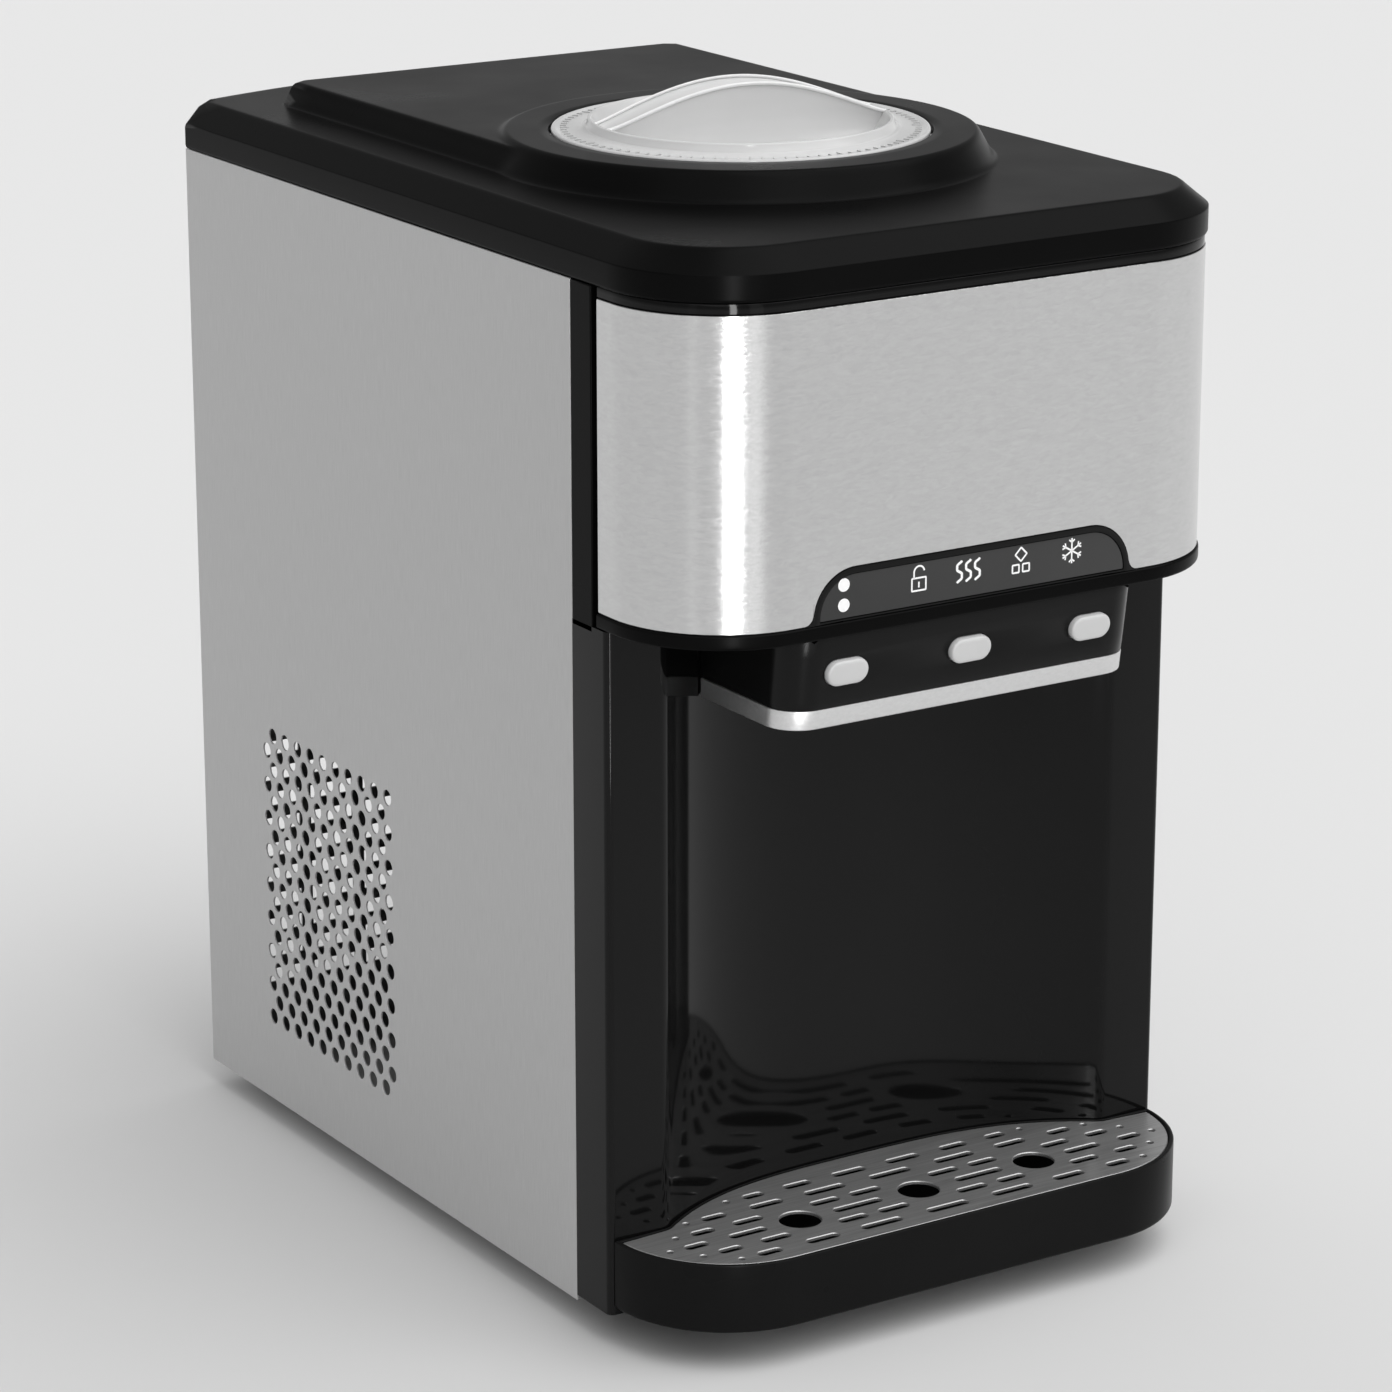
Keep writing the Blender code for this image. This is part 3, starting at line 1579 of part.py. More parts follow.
tank_share = 0.2405
tank_skirt_set = 0.007
tank_skirt = 0.015
pump_room = 0.0605
tank_y = face_y + side_depth * tank_share
tank_skirt_radius = tank_radius - tank_skirt_set
tank_top = shelf_bottom - pump_room
tank_edge = 0.003
tank_low = pan_top + fit_gap
tank_shape = turned([
    (0, tank_low), (tank_skirt_radius, tank_low), (tank_skirt_radius, tank_low + tank_skirt),
    (tank_radius, tank_low + tank_skirt + tank_edge), (tank_radius, tank_top - tank_edge),
    (tank_radius - tank_edge, tank_top), (0, tank_top),
], 20)
make("hot_tank", moved(tank_shape, -tank_x, tank_y, 0), tank_steel)
make("cold_tank", moved(tank_shape, tank_x, tank_y, 0), foam_white)

pump_radius = 0.013
pump_body_radius = 0.011
pump_height = 0.038
pump_head = 0.014
pump_nozzle_radius = 0.004
pump_nozzle = 0.005
pump_low = tank_top + fit_gap
pump_top = pump_low + pump_height
pump_shape = turned([
    (0, pump_low), (pump_radius, pump_low), (pump_radius, pump_low + pump_head),
    (pump_body_radius, pump_low + pump_head), (pump_body_radius, pump_top),
    (pump_nozzle_radius, pump_top), (pump_nozzle_radius, pump_top + pump_nozzle),
    (0, pump_top + pump_nozzle),
], 14)
for name, side in (("hot_pump", -1), ("cold_pump", 1)):
    make(name, moved(pump_shape, side * pump_x, pump_y, 0), shell_black)


# Manifold that feeds both tanks from the reservoir, and the hoses to the spouts

manifold_z = (bin_top + reservoir_bottom) / 2
feed_manifold = make("feed_manifold", moved(laid_along_x(turned([
    (0, -feed_x - tube_radius), (tube_radius, -feed_x - tube_radius),
    (tube_radius, feed_x + tube_radius), (0, feed_x + tube_radius),
], 10)), 0, feed_y, manifold_z), white_plastic)
pipe_sides = 8
pipe_share = 0.9
pipe_radius = tube_radius * pipe_share
pipe_runs = [(0, manifold_z, reservoir_bottom - fit_gap)]
pipe_runs += [(side * feed_x, tank_top + fit_gap, manifold_z) for side in (-1, 1)]
join(feed_manifold, group(
    upright(circle((x, feed_y), pipe_radius, pipe_sides), low, high) for x, low, high in pipe_runs
))

hose_bend = 0.010
hose_clearance = 0.003
hose_level = trim_bottom + moulding + tube_radius + hose_bend
hose_turn_y = face_y + hose_clearance
for name, side in (("hot_hose", -1), ("cold_hose", 1)):
    make_tube(name, [
        (side * pump_x, pump_y, pump_top + pump_nozzle + fit_gap),
        (side * pump_x, pump_y, hose_level),
        (side * pump_x, hose_turn_y, hose_level),
        (side * spout_x, spout_y, hose_level),
        (side * spout_x, spout_y, spout_high + fit_gap),
    ], tube_radius, grey_silicone, hose_bend)


# Compressor on four bosses of the base pan

compressor_x = 0.035
compressor_share = 0.2333
compressor_radius_share = 0.1503
compressor_y = back_y - side_depth * compressor_share
compressor_radius = side_depth * compressor_radius_share
compressor_height = 0.128
compressor_foot = 0.002
boss_height = 0.009
boss_radius = 0.008
foot_plate_reach = compressor_radius
compressor_low = pan_top + boss_height + fit_gap
compressor_top = compressor_low + compressor_height
compressor = make("compressor", moved(turned([
    (0, compressor_low), (compressor_radius * 0.86, compressor_low),
    (compressor_radius, compressor_low + compressor_radius * 0.2),
    (compressor_radius, compressor_low + compressor_height * 0.45),
    (compressor_radius * 1.03, compressor_low + compressor_height * 0.46),
    (compressor_radius * 1.03, compressor_low + compressor_height * 0.49),
    (compressor_radius, compressor_low + compressor_height * 0.5),
    (compressor_radius, compressor_top - compressor_radius * 0.45),
    (compressor_radius * 0.8, compressor_top - compressor_radius * 0.15),
    (compressor_radius * 0.3, compressor_top), (0, compressor_top),
], 20), compressor_x, compressor_y, 0), shell_black)
foot_plate = rounded_rectangle(
    (compressor_x, compressor_y), foot_plate_reach * 2, foot_plate_reach * 2, boss_radius
)
join(compressor, upright(foot_plate, compressor_low, compressor_low + compressor_foot))
boss_reach = foot_plate_reach - boss_radius
join(base_pan, group(
    upright(
        circle((compressor_x + a * boss_reach, compressor_y + b * boss_reach), boss_radius, 10),
        pan_top - pan_thickness / 2, pan_top + boss_height,
    ) for a in (-1, 1) for b in (-1, 1)
))


# Condenser with its fins, and the fan behind it

condenser_low_share = 0.101
condenser_high_share = 0.9373
condenser_low_x = inside_x * condenser_low_share
condenser_high_x = inside_x * condenser_high_share
condenser_height = 0.130
fin_count = 10
fin_share = 0.45
condenser_low = pan_top + fit_gap
condenser_top = condenser_low + condenser_height
fin_pitch = (condenser_high_x - condenser_low_x) / (fin_count - 1 + fin_share)
fin_width = fin_pitch * fin_share
fin_base = 0.006


def condenser_outline():
    """The fins in (x, z), standing on a base bar."""
    outline = [(condenser_low_x, condenser_low), (condenser_high_x, condenser_low)]
    for fin in reversed(range(fin_count)):
        x = condenser_low_x + fin * fin_pitch
        outline += [(x + fin_width, condenser_top), (x, condenser_top)]
        if fin:
            outline += [
                (x, condenser_low + fin_base),
                (x - fin_pitch + fin_width, condenser_low + fin_base),
            ]
    return outline


condenser = make("condenser", along_y(
    condenser_outline(), condenser_y, condenser_y + condenser_depth
), aluminium)
coil_radius = 0.0035
coil_rows = 3
coil_low = condenser_low + fin_base * 2
coil_rise = (condenser_height - fin_base * 3) / (coil_rows - 1)
join(condenser, group(
    moved(
        laid_along_x(turned([
            (0, condenser_low_x - coil_radius), (coil_radius, condenser_low_x - coil_radius),
            (coil_radius, condenser_high_x + coil_radius), (0, condenser_high_x + coil_radius),
        ], 6)),
        0, liquid_y, coil_low + row * coil_rise,
    ) for row in range(coil_rows)
))

fan_x = (condenser_low_x + condenser_high_x) / 2
fan_z = condenser_low + condenser_height / 2
fan_margin = 0.012
fan_radius = (condenser_high_x - condenser_low_x) / 2 - fan_margin
fan_tip_gap = 0.002
shroud_depth = 0.015
shroud_lip = 0.0015
shroud_front = condenser_y + condenser_depth + fit_gap
shroud_back = shroud_front + shroud_depth
fan_shroud = make("fan_shroud", along_y(
    rectangle((condenser_low_x, condenser_low), (condenser_high_x, condenser_top)),
    shroud_front, shroud_back,
), satin_black)
ring_radius = fan_radius + fan_tip_gap
cut(fan_shroud, along_y(
    circle((fan_x, fan_z), ring_radius, 28), shroud_front - overrun, shroud_back + overrun
))
cut(fan_shroud, along_y(
    rectangle(
        (condenser_low_x + shroud_lip, condenser_low + shroud_lip),
        (condenser_high_x - shroud_lip, condenser_top - shroud_lip),
    ), shroud_front - overrun, shroud_back - shroud_lip * 2,
))

fan_motor_radius = 0.014
fan_motor_length = 0.020
strut_width = 0.006
strut_thickness = 0.002
fan_motor_front = shroud_back + fit_gap
fan_motor = make("fan_motor", moved(laid_along_y(turned([
    (0, 0), (fan_motor_radius, 0), (fan_motor_radius, fan_motor_length), (0, fan_motor_length),
], 16)), fan_x, fan_motor_front, fan_z), shell_black)
join(fan_motor, block(
    (condenser_low_x + shroud_lip, fan_motor_front, fan_z - strut_width / 2),
    (condenser_high_x - shroud_lip, fan_motor_front + strut_thickness, fan_z + strut_width / 2),
))

hub_radius = 0.012
hub_length = 0.011
blade_count = 7
blade_chord = 0.016
blade_thickness = 0.0012
blade_pitch = 30
fan_front = fan_motor_front - fit_gap * 2 - hub_length
fan_blades = make("fan_blades", moved(laid_along_y(turned([
    (0, 0), (hub_radius * 0.8, 0), (hub_radius, hub_length * 0.2), (hub_radius, hub_length),
    (0, hub_length),
], 14)), fan_x, fan_front, fan_z), shell_black, origin=(fan_x, fan_front, fan_z))
blade_shape = block(
    (hub_radius * 0.6, -blade_chord / 2, -blade_thickness / 2),
    (fan_radius, blade_chord / 2, blade_thickness / 2),
)
blade_tilt = Matrix.Rotation(math.radians(blade_pitch), 4, "X")
blade_middle = Matrix.Translation((fan_x, fan_front + hub_length / 2, fan_z))
upright_blade = Matrix.Rotation(math.radians(90), 4, "X")
for blade in range(blade_count):
    spin = Matrix.Rotation(math.radians(360 * blade / blade_count), 4, "Y")
    join(fan_blades, placed(blade_shape, blade_middle @ spin @ upright_blade @ blade_tilt))


# Refrigerant line past the cold plate and back to the compressor, and the discharge line

line_bend = 0.008
suction_share = 0.6489
suction_set = 0.0146
liquid_set = 0.0246
suction_x = inside_x * suction_share
suction_y = back_y - suction_set
liquid_run_y = back_y - liquid_set
line_level = plate_top - cold_plate_thickness / 2
line_loop_x = 0.030
loop_y = cold_plate_front + cold_plate_depth + fit_gap + line_radius
suction_port_set = 0.0125
discharge_port_set = 0.0175
suction_port_x = compressor_x + suction_port_set
discharge_x = compressor_x - discharge_port_set
discharge_rise = 0.024
discharge_level = compressor_top + discharge_rise
make_tube("refrigerant_line", [
    (liquid_x, liquid_y, condenser_top + fit_gap), (liquid_x, liquid_y, line_level),
    (liquid_x, liquid_run_y, line_level), (line_loop_x, liquid_run_y, line_level),
    (line_loop_x, loop_y, line_level), (-line_loop_x, loop_y, line_level),
    (-line_loop_x, suction_y, line_level), (suction_x, suction_y, line_level),
    (suction_x, suction_y, discharge_level + discharge_rise),
    (suction_port_x, compressor_y, discharge_level),
    (suction_port_x, compressor_y, compressor_top + fit_gap),
], line_radius, copper, line_bend)
discharge_end_x = condenser_low_x + fin_pitch
make_tube("discharge_line", [
    (discharge_x, compressor_y, compressor_top + fit_gap),
    (discharge_x, compressor_y, discharge_level),
    (discharge_end_x, liquid_y, discharge_level),
    (discharge_end_x, liquid_y, condenser_top + fit_gap),
], line_radius, copper, line_bend)


# Control board on the left panel

board_share = 0.6164
board_length = 0.100
board_rise = 0.012
board_front_y = face_y + side_depth * board_share
board_z = mid_shelf_top + board_rise
board_height = 0.085
board_standoff = 0.008
standoff_size = 0.005
control_x = -inside_x + board_standoff
control_board = make("control_board", block(
    (control_x, board_front_y, board_z),
    (control_x + board_thickness, board_front_y + board_length, board_z + board_height),
), board_green)
for y_share in (0.1, 0.9):
    for z_share in (0.1, 0.9):
        y = board_front_y + board_length * y_share
        z = board_z + board_height * z_share
        join(control_board, block(
            (-inside_x, y - standoff_size / 2, z - standoff_size / 2),
            (control_x + board_thickness / 2, y + standoff_size / 2, z + standoff_size / 2),
        ))
# Components as (start and end along the board, start and end up it) shares, with a height
relay_height = 0.016
capacitor_height = 0.022
component_shares = (
    ((0.12, 0.34), (0.18, 0.42), relay_height), ((0.42, 0.64), (0.18, 0.42), relay_height),
    ((0.70, 0.92), (0.20, 0.60), capacitor_height), ((0.16, 0.50), (0.60, 0.85), relay_height / 2),
)
for (y_start, y_end), (z_start, z_end), height in component_shares:
    join(control_board, block(
        (control_x + board_thickness / 2, board_front_y + board_length * y_start,
         board_z + board_height * z_start),
        (control_x + board_thickness + height, board_front_y + board_length * y_end,
         board_z + board_height * z_end),
    ))


# Service plate on the back, with the power inlet and two rocker switches

rocker_width = 0.018
rocker_height = 0.024
rocker_wall = 0.0012
rocker_gap = 0.0006
rocker_tilt = 8
rocker_pitch = 0.030
rocker_rise = 0.021
rocker_z = plate_z + rocker_rise
inlet_width = 0.028
inlet_height = 0.021
inlet_drop = 0.020
inlet_z = plate_z - inlet_drop
inlet_depth = 0.016
inlet_wall = 0.0025
inlet_corner = 0.004
inlet_gap = 0.0004
pin_width = 0.002
pin_height = 0.005
pin_spread = 0.007
pin_recess = 0.005

plate_face = back_y + fit_gap + plate_thickness
plate_inner_x = plate_width / 2 - plate_lip - fit_gap
plate_inner_z = plate_height / 2 - plate_lip - fit_gap
service_plate = make("service_plate", along_y(
    rectangle(
        (plate_x - plate_width / 2, plate_z - plate_height / 2),
        (plate_x + plate_width / 2, plate_z + plate_height / 2),
    ), back_y + fit_gap, plate_face,
), satin_black)
join(service_plate, along_y(
    rectangle(
        (plate_x - plate_inner_x, plate_z - plate_inner_z),
        (plate_x + plate_inner_x, plate_z + plate_inner_z),
    ), plate_face - plate_depth, plate_face - plate_thickness / 2,
))
cut(service_plate, along_y(
    rounded_rectangle(
        (plate_x, inlet_z), inlet_width + inlet_gap * 2, inlet_height + inlet_gap * 2,
        inlet_corner,
    ), plate_face - plate_depth - overrun, plate_face + overrun,
))
rocker_places = {
    "heater_switch": plate_x - rocker_pitch / 2, "cooler_switch": plate_x + rocker_pitch / 2
}
rocker_depth = 0.013
cut(service_plate, group(
    along_y(rectangle(
        (x - rocker_width / 2 - rocker_gap, rocker_z - rocker_height / 2 - rocker_gap),
        (x + rocker_width / 2 + rocker_gap, rocker_z + rocker_height / 2 + rocker_gap),
    ), plate_face - rocker_depth, plate_face + overrun) for x in rocker_places.values()
))
rocker_lift = 0.0022
rocker_edge = 0.0006
rocker_pivot_depth = 0.005
rocker_pin = 0.0018
rocker_pivot_y = plate_face - rocker_pivot_depth
rocker_front = rocker_pivot_depth + rocker_lift
rocker_heel = rocker_height / 4
rocker_toe = rocker_height * 0.42
rocker_edge_depth = rocker_pivot_depth - rocker_edge
rocker_outline = [
    (-rocker_pin, -rocker_heel), (rocker_edge_depth, -rocker_toe - rocker_edge),
    (rocker_front, -rocker_toe), (rocker_pivot_depth + rocker_edge, 0),
    (rocker_front, rocker_toe), (rocker_edge_depth, rocker_toe + rocker_edge),
    (-rocker_pin, rocker_heel),
]
rocker_lean = Matrix.Rotation(math.radians(-rocker_tilt), 4, "X")
rocker_half_width = rocker_width / 2 - rocker_gap
pin_half_length = rocker_width / 2 + rocker_gap - fit_gap
for name, x in rocker_places.items():
    pivot = Matrix.Translation((x, rocker_pivot_y, rocker_z))
    rocker_shape = along_x(rocker_outline, -rocker_half_width, rocker_half_width)
    rocker = make(
        name, placed(rocker_shape, pivot @ rocker_lean), gloss_black,
        origin=(x, rocker_pivot_y, rocker_z),
    )
    join(rocker, along_x(
        circle((rocker_pivot_y, rocker_z), rocker_pin / 2, 8),
        x - pin_half_length, x + pin_half_length,
    ))

inlet_back = plate_face - inlet_wall / 2
power_inlet = make("power_inlet", along_y(
    rounded_rectangle((plate_x, inlet_z), inlet_width, inlet_height, inlet_corner),
    plate_face - plate_depth, inlet_back,
), gloss_black)
cut(power_inlet, along_y(
    rounded_rectangle(
        (plate_x, inlet_z), inlet_width - inlet_wall * 2, inlet_height - inlet_wall * 2,
        inlet_corner - inlet_wall,
    ), inlet_back - inlet_depth + inlet_wall, inlet_back + overrun,
))
for pin in (-1, 0, 1):
    x = plate_x + pin * pin_spread
    z = inlet_z + (pin_height / 2 if pin == 0 else -pin_height / 4)
    join(power_inlet, block(
        (x - pin_width / 2, plate_face - plate_depth + inlet_wall / 2, z - pin_height / 2),
        (x + pin_width / 2, inlet_back - pin_recess, z + pin_height / 2),
    ))
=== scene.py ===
"""The look of the countertop water dispenser with an ice maker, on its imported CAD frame."""
import json
import math

import bmesh
import bpy
from mathutils import Matrix, Vector


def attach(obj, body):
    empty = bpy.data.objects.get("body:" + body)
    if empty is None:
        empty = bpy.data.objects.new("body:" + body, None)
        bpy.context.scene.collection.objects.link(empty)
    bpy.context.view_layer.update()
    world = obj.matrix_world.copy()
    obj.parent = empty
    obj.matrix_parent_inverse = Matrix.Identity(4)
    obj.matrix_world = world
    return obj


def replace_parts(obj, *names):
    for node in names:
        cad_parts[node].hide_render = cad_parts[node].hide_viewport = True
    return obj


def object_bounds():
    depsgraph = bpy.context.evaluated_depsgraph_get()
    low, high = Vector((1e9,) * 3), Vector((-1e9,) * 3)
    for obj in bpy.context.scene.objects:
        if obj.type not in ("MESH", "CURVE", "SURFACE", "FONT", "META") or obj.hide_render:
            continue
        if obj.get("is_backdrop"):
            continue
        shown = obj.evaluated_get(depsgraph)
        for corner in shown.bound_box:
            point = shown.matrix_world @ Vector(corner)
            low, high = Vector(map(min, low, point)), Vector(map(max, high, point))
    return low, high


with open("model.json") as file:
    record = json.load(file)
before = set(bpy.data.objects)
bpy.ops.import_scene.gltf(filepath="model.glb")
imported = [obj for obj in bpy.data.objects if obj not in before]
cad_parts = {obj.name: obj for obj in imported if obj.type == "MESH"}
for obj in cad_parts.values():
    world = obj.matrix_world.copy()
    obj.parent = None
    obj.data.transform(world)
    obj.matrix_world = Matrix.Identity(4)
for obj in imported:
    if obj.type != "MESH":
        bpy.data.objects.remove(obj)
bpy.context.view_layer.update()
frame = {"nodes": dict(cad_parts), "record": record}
nodes = frame["nodes"]
world_scene = bpy.context.scene


# Sizes in metres, as in the CAD source

half_width = 0.140
face_y = -0.13755
front_y = -0.21945
back_y = 0.19505
rear_bow = 0.0244
side_bottom = 0.012
side_top = 0.4476
corner_radius = 0.052
trim_bottom = 0.3090
trim_top = 0.3150
band_bottom = 0.4429
port_centre = (0.0, -0.04555)
gap = 0.0003


# Node helpers for the procedural materials

surfaces = {}


def add_node(tree, kind, **inputs):
    """A new node with some of its inputs set."""
    node = tree.nodes.new("ShaderNode" + kind)
    for name, value in inputs.items():
        node.inputs[name.replace("_", " ")].default_value = value
    return node


class Surface:
    """A material with a Principled shader, and short calls for its nodes."""

    def __init__(self, name, colour, roughness, metallic=0.0, **sockets):
        self.material = bpy.data.materials.new(name)
        self.material.use_nodes = True
        self.tree = self.material.node_tree
        self.shader = self.tree.nodes["Principled BSDF"]
        sockets.update(Base_Color=(*colour, 1), Roughness=roughness, Metallic=metallic)
        for socket, value in sockets.items():
            self.shader.inputs[socket.replace("_", " ")].default_value = value
        self.coordinates = add_node(self.tree, "TexCoord").outputs["Object"]
        surfaces[name] = self.material

    def link(self, start, end):
        self.tree.links.new(start, end)

    def scaled(self, stretch):
        """Object coordinates, stretched along the axes."""
        node = add_node(self.tree, "Mapping", Scale=stretch)
        self.link(self.coordinates, node.inputs["Vector"])
        return node.outputs["Vector"]

    def noise(self, stretch, detail=3.0, rough=0.55, warp=0.0):
        """Noise with so many grains to the metre along each axis."""
        node = add_node(
            self.tree, "TexNoise", Scale=1.0, Detail=detail, Roughness=rough, Distortion=warp
        )
        self.link(self.scaled(stretch), node.inputs["Vector"])
        return node.outputs["Fac"]

    def cells(self, stretch):
        """Round pebbles with so many to the metre along each axis."""
        node = add_node(self.tree, "TexVoronoi", Scale=1.0)
        node.feature = "SMOOTH_F1"
        self.link(self.scaled(stretch), node.inputs["Vector"])
        return node.outputs["Distance"]

    def spread(self, value, low, high, start, end):
        """A value remapped to a range of numbers."""
        node = add_node(
            self.tree, "MapRange", From_Min=start, From_Max=end, To_Min=low, To_Max=high
        )
        self.link(value, node.inputs["Value"])
        return node.outputs["Result"]

    def colour(self, value, first, second, start=0.3, end=0.7):
        """A base colour between two, by a value."""
        node = add_node(self.tree, "Mix")
        node.data_type = "RGBA"
        self.link(self.spread(value, 0.0, 1.0, start, end), node.inputs["Factor"])
        node.inputs[6].default_value = (*first, 1)
        node.inputs[7].default_value = (*second, 1)
        self.link(node.outputs[2], self.shader.inputs["Base Color"])

    def roughen(self, value, low, high, start=0.3, end=0.7):
        """A roughness between two, by a value."""
        self.link(self.spread(value, low, high, start, end), self.shader.inputs["Roughness"])

    def bump(self, height, depth, strength, before=None):
        """Relief of a depth in metres, on top of other relief."""
        node = add_node(self.tree, "Bump", Strength=strength, Distance=depth)
        self.link(height, node.inputs["Height"])
        if before:
            self.link(before, node.inputs["Normal"])
        self.link(node.outputs["Normal"], self.shader.inputs["Normal"])
        return node.outputs["Normal"]


def grey(value):
    """A neutral colour from a display value of 0 to 255."""
    share = value / 255
    linear = ((share + 0.055) / 1.055) ** 2.4 if share > 0.04 else share / 12.92
    return (linear, linear, linear)


# Materials, one for each slot of the record and a few finer looks

side = Surface("side_steel", grey(188), 0.42, 0.28)
grain = side.noise((2600, 2600, 90), 4.0)
speck = side.noise((1800, 1800, 1400), 2.0)
side.colour(grain, grey(182), grey(192))
side.roughen(speck, 0.38, 0.48)
side.bump(grain, 0.00004, 0.35)

front = Surface("front_steel", grey(208), 0.17, 0.88)
ripple = front.noise((190, 190, 620), 5.0, 0.62, 0.9)
pebble = front.noise((900, 900, 1500), 3.0, 0.6, 0.4)
front.colour(ripple, grey(202), grey(214))
front.roughen(ripple, 0.14, 0.21)
front.bump(ripple, 0.00016, 0.6, front.bump(pebble, 0.00005, 0.5))

zinc = Surface("zinc_sheet", grey(178), 0.45, 0.9)
spangle = zinc.cells((120, 120, 120))
zinc.colour(spangle, grey(166), grey(188), 0.1, 0.8)
zinc.roughen(spangle, 0.36, 0.52, 0.1, 0.8)
zinc.bump(zinc.noise((900, 900, 900)), 0.00003, 0.3)


def grained(name, shade, roughness, metallic, grains, tones, finish, depth,
            strength=0.3, detail=3.0, warp=0.0):
    """Metal with so many grains to the metre: its two tones, its least and most roughness
    and the depth of its relief."""
    made = Surface(name, shade, roughness, metallic)
    grain = made.noise(grains, detail, warp=warp)
    made.colour(grain, *tones)
    made.roughen(grain, *finish)
    made.bump(grain, depth, strength)


grained("grille_steel", grey(172), 0.30, 0.70, (40, 2200, 2200), (grey(158), grey(190)),
        (0.28, 0.42), 0.00003, strength=0.4, detail=4.0)
grained("strip_metal", grey(222), 0.36, 0.9, (520, 520, 900), (grey(218), grey(226)),
        (0.32, 0.42), 0.00002, warp=0.4)
grained("tank_steel", grey(190), 0.3, 0.95, (2000, 2000, 40), (grey(180), grey(198)),
        (0.24, 0.36), 0.00002)
grained("copper", (0.60, 0.27, 0.16), 0.32, 1.0, (70, 70, 70),
        ((0.48, 0.20, 0.12), (0.66, 0.31, 0.19)), (0.26, 0.46), 0.00002, detail=4.0)
grained("aluminium", grey(196), 0.38, 0.95, (300, 300, 2400), (grey(186), grey(204)),
        (0.32, 0.46), 0.00003)


cloud_grains = 14


def moulded(name, low, high, roughness, texture, depth, **sockets):
    """Moulded plastic: a fine skin texture with slight changes of shade."""
    made = Surface(name, low, roughness, **sockets)
    skin = made.noise((texture, texture, texture), 2.0)
    cloud = made.noise((cloud_grains, cloud_grains, cloud_grains))
    made.colour(cloud, low, high)
    made.roughen(cloud, roughness * 0.9, roughness * 1.12)
    made.bump(skin, depth, 0.5)


moulded("satin_black", grey(9), grey(11), 0.29, 2400, 0.00002, Specular_IOR_Level=0.045)
moulded("tray_black", grey(22), grey(25), 0.29, 2400, 0.00002, Specular_IOR_Level=0.05)
moulded("gloss_black", grey(15), grey(17), 0.07, 500, 0.000003, Specular_IOR_Level=0.18)
moulded("display_window", grey(58), grey(62), 0.16, 700, 0.000004, Specular_IOR_Level=0.25)
moulded("button_grey", grey(210), grey(216), 0.32, 1800, 0.00001)
moulded("lid_plastic", grey(226), grey(232), 0.12, 900, 0.000006, Transmission_Weight=0.24)
moulded("tick_grey", grey(165), grey(178), 0.3, 1200, 0.000005)
moulded("white_plastic", grey(226), grey(230), 0.34, 1500, 0.00002)
moulded("rubber_black", grey(30), grey(36), 0.78, 1600, 0.00005)
moulded("silicone_grey", grey(176), grey(182), 0.5, 1200, 0.00002)
moulded("foam_white", grey(214), grey(226), 0.9, 700, 0.0002)
moulded("board_green", (0.016, 0.13, 0.055), (0.02, 0.16, 0.07), 0.42, 1400, 0.00003)
moulded("shell_black", grey(24), grey(28), 0.34, 900, 0.00004)
moulded("console_black", grey(14), grey(16), 0.24, 1200, 0.00001, Specular_IOR_Level=0.17)


# Studio: a wide pale floor with painted shade towards its left front, a plain sky and soft lamps


def placed(name, data):
    """A new object in the scene."""
    item = bpy.data.objects.new(name, data)
    world_scene.collection.objects.link(item)
    return item


floor_reach = 30
floor_corners = [(-1, -1), (1, -1), (1, 1), (-1, 1)]
floor_mesh = bpy.data.meshes.new("studio_floor")
floor_mesh.from_pydata(
    [(x * floor_reach, y * floor_reach, 0) for x, y in floor_corners], [], [(0, 1, 2, 3)]
)
floor = placed("studio_floor", floor_mesh)
floor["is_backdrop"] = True
pale = Surface("studio_floor", grey(216), 0.9, Specular_IOR_Level=0.0)
# The floor's colour darkens towards the left and the front: painted shade across the floor
floor_painted_shade = add_node(pale.tree, "VectorMath")
floor_painted_shade.operation = "DOT_PRODUCT"
pale.link(pale.coordinates, floor_painted_shade.inputs[0])
floor_painted_shade.inputs[1].default_value = (1.0, 0.75, 0.0)
pale.colour(floor_painted_shade.outputs["Value"], grey(209), grey(221), -0.55, 0.25)
floor_mesh.materials.append(pale.material)

sky = bpy.data.worlds.new("studio")
world_scene.world = sky
sky.use_nodes = True
sky_tree = sky.node_tree
sky_tree.nodes.clear()
join = sky_tree.links.new
paths = add_node(sky_tree, "LightPath")
seen = paths.outputs["Is Camera Ray"]
for ray in ("Is Glossy Ray", "Is Transmission Ray"):
    either = add_node(sky_tree, "Math")
    either.operation = "MAXIMUM"
    join(seen, either.inputs[0])
    join(paths.outputs[ray], either.inputs[1])
    seen = either.outputs[0]
lit = add_node(sky_tree, "Background", Color=(1, 1, 1, 1), Strength=0.56)
shown = add_node(sky_tree, "Background", Strength=1.0)
split = add_node(sky_tree, "SeparateXYZ")
join(add_node(sky_tree, "TexCoord").outputs["Generated"], split.inputs[0])
backdrop = add_node(sky_tree, "ValToRGB")
stops = backdrop.color_ramp.elements
for i, (height, shade) in enumerate(((0.02, 229), (0.22, 132), (0.75, 190))):
    stop = stops[i] if i < len(stops) else stops.new(height)
    stop.position = height
    stop.color = (*grey(shade), 1)
join(split.outputs["Z"], backdrop.inputs[0])
join(backdrop.outputs[0], shown.inputs["Color"])
choice = add_node(sky_tree, "MixShader")
join(seen, choice.inputs[0])
join(lit.outputs[0], choice.inputs[1])
join(shown.outputs[0], choice.inputs[2])
join(choice.outputs[0], add_node(sky_tree, "OutputWorld").inputs["Surface"])


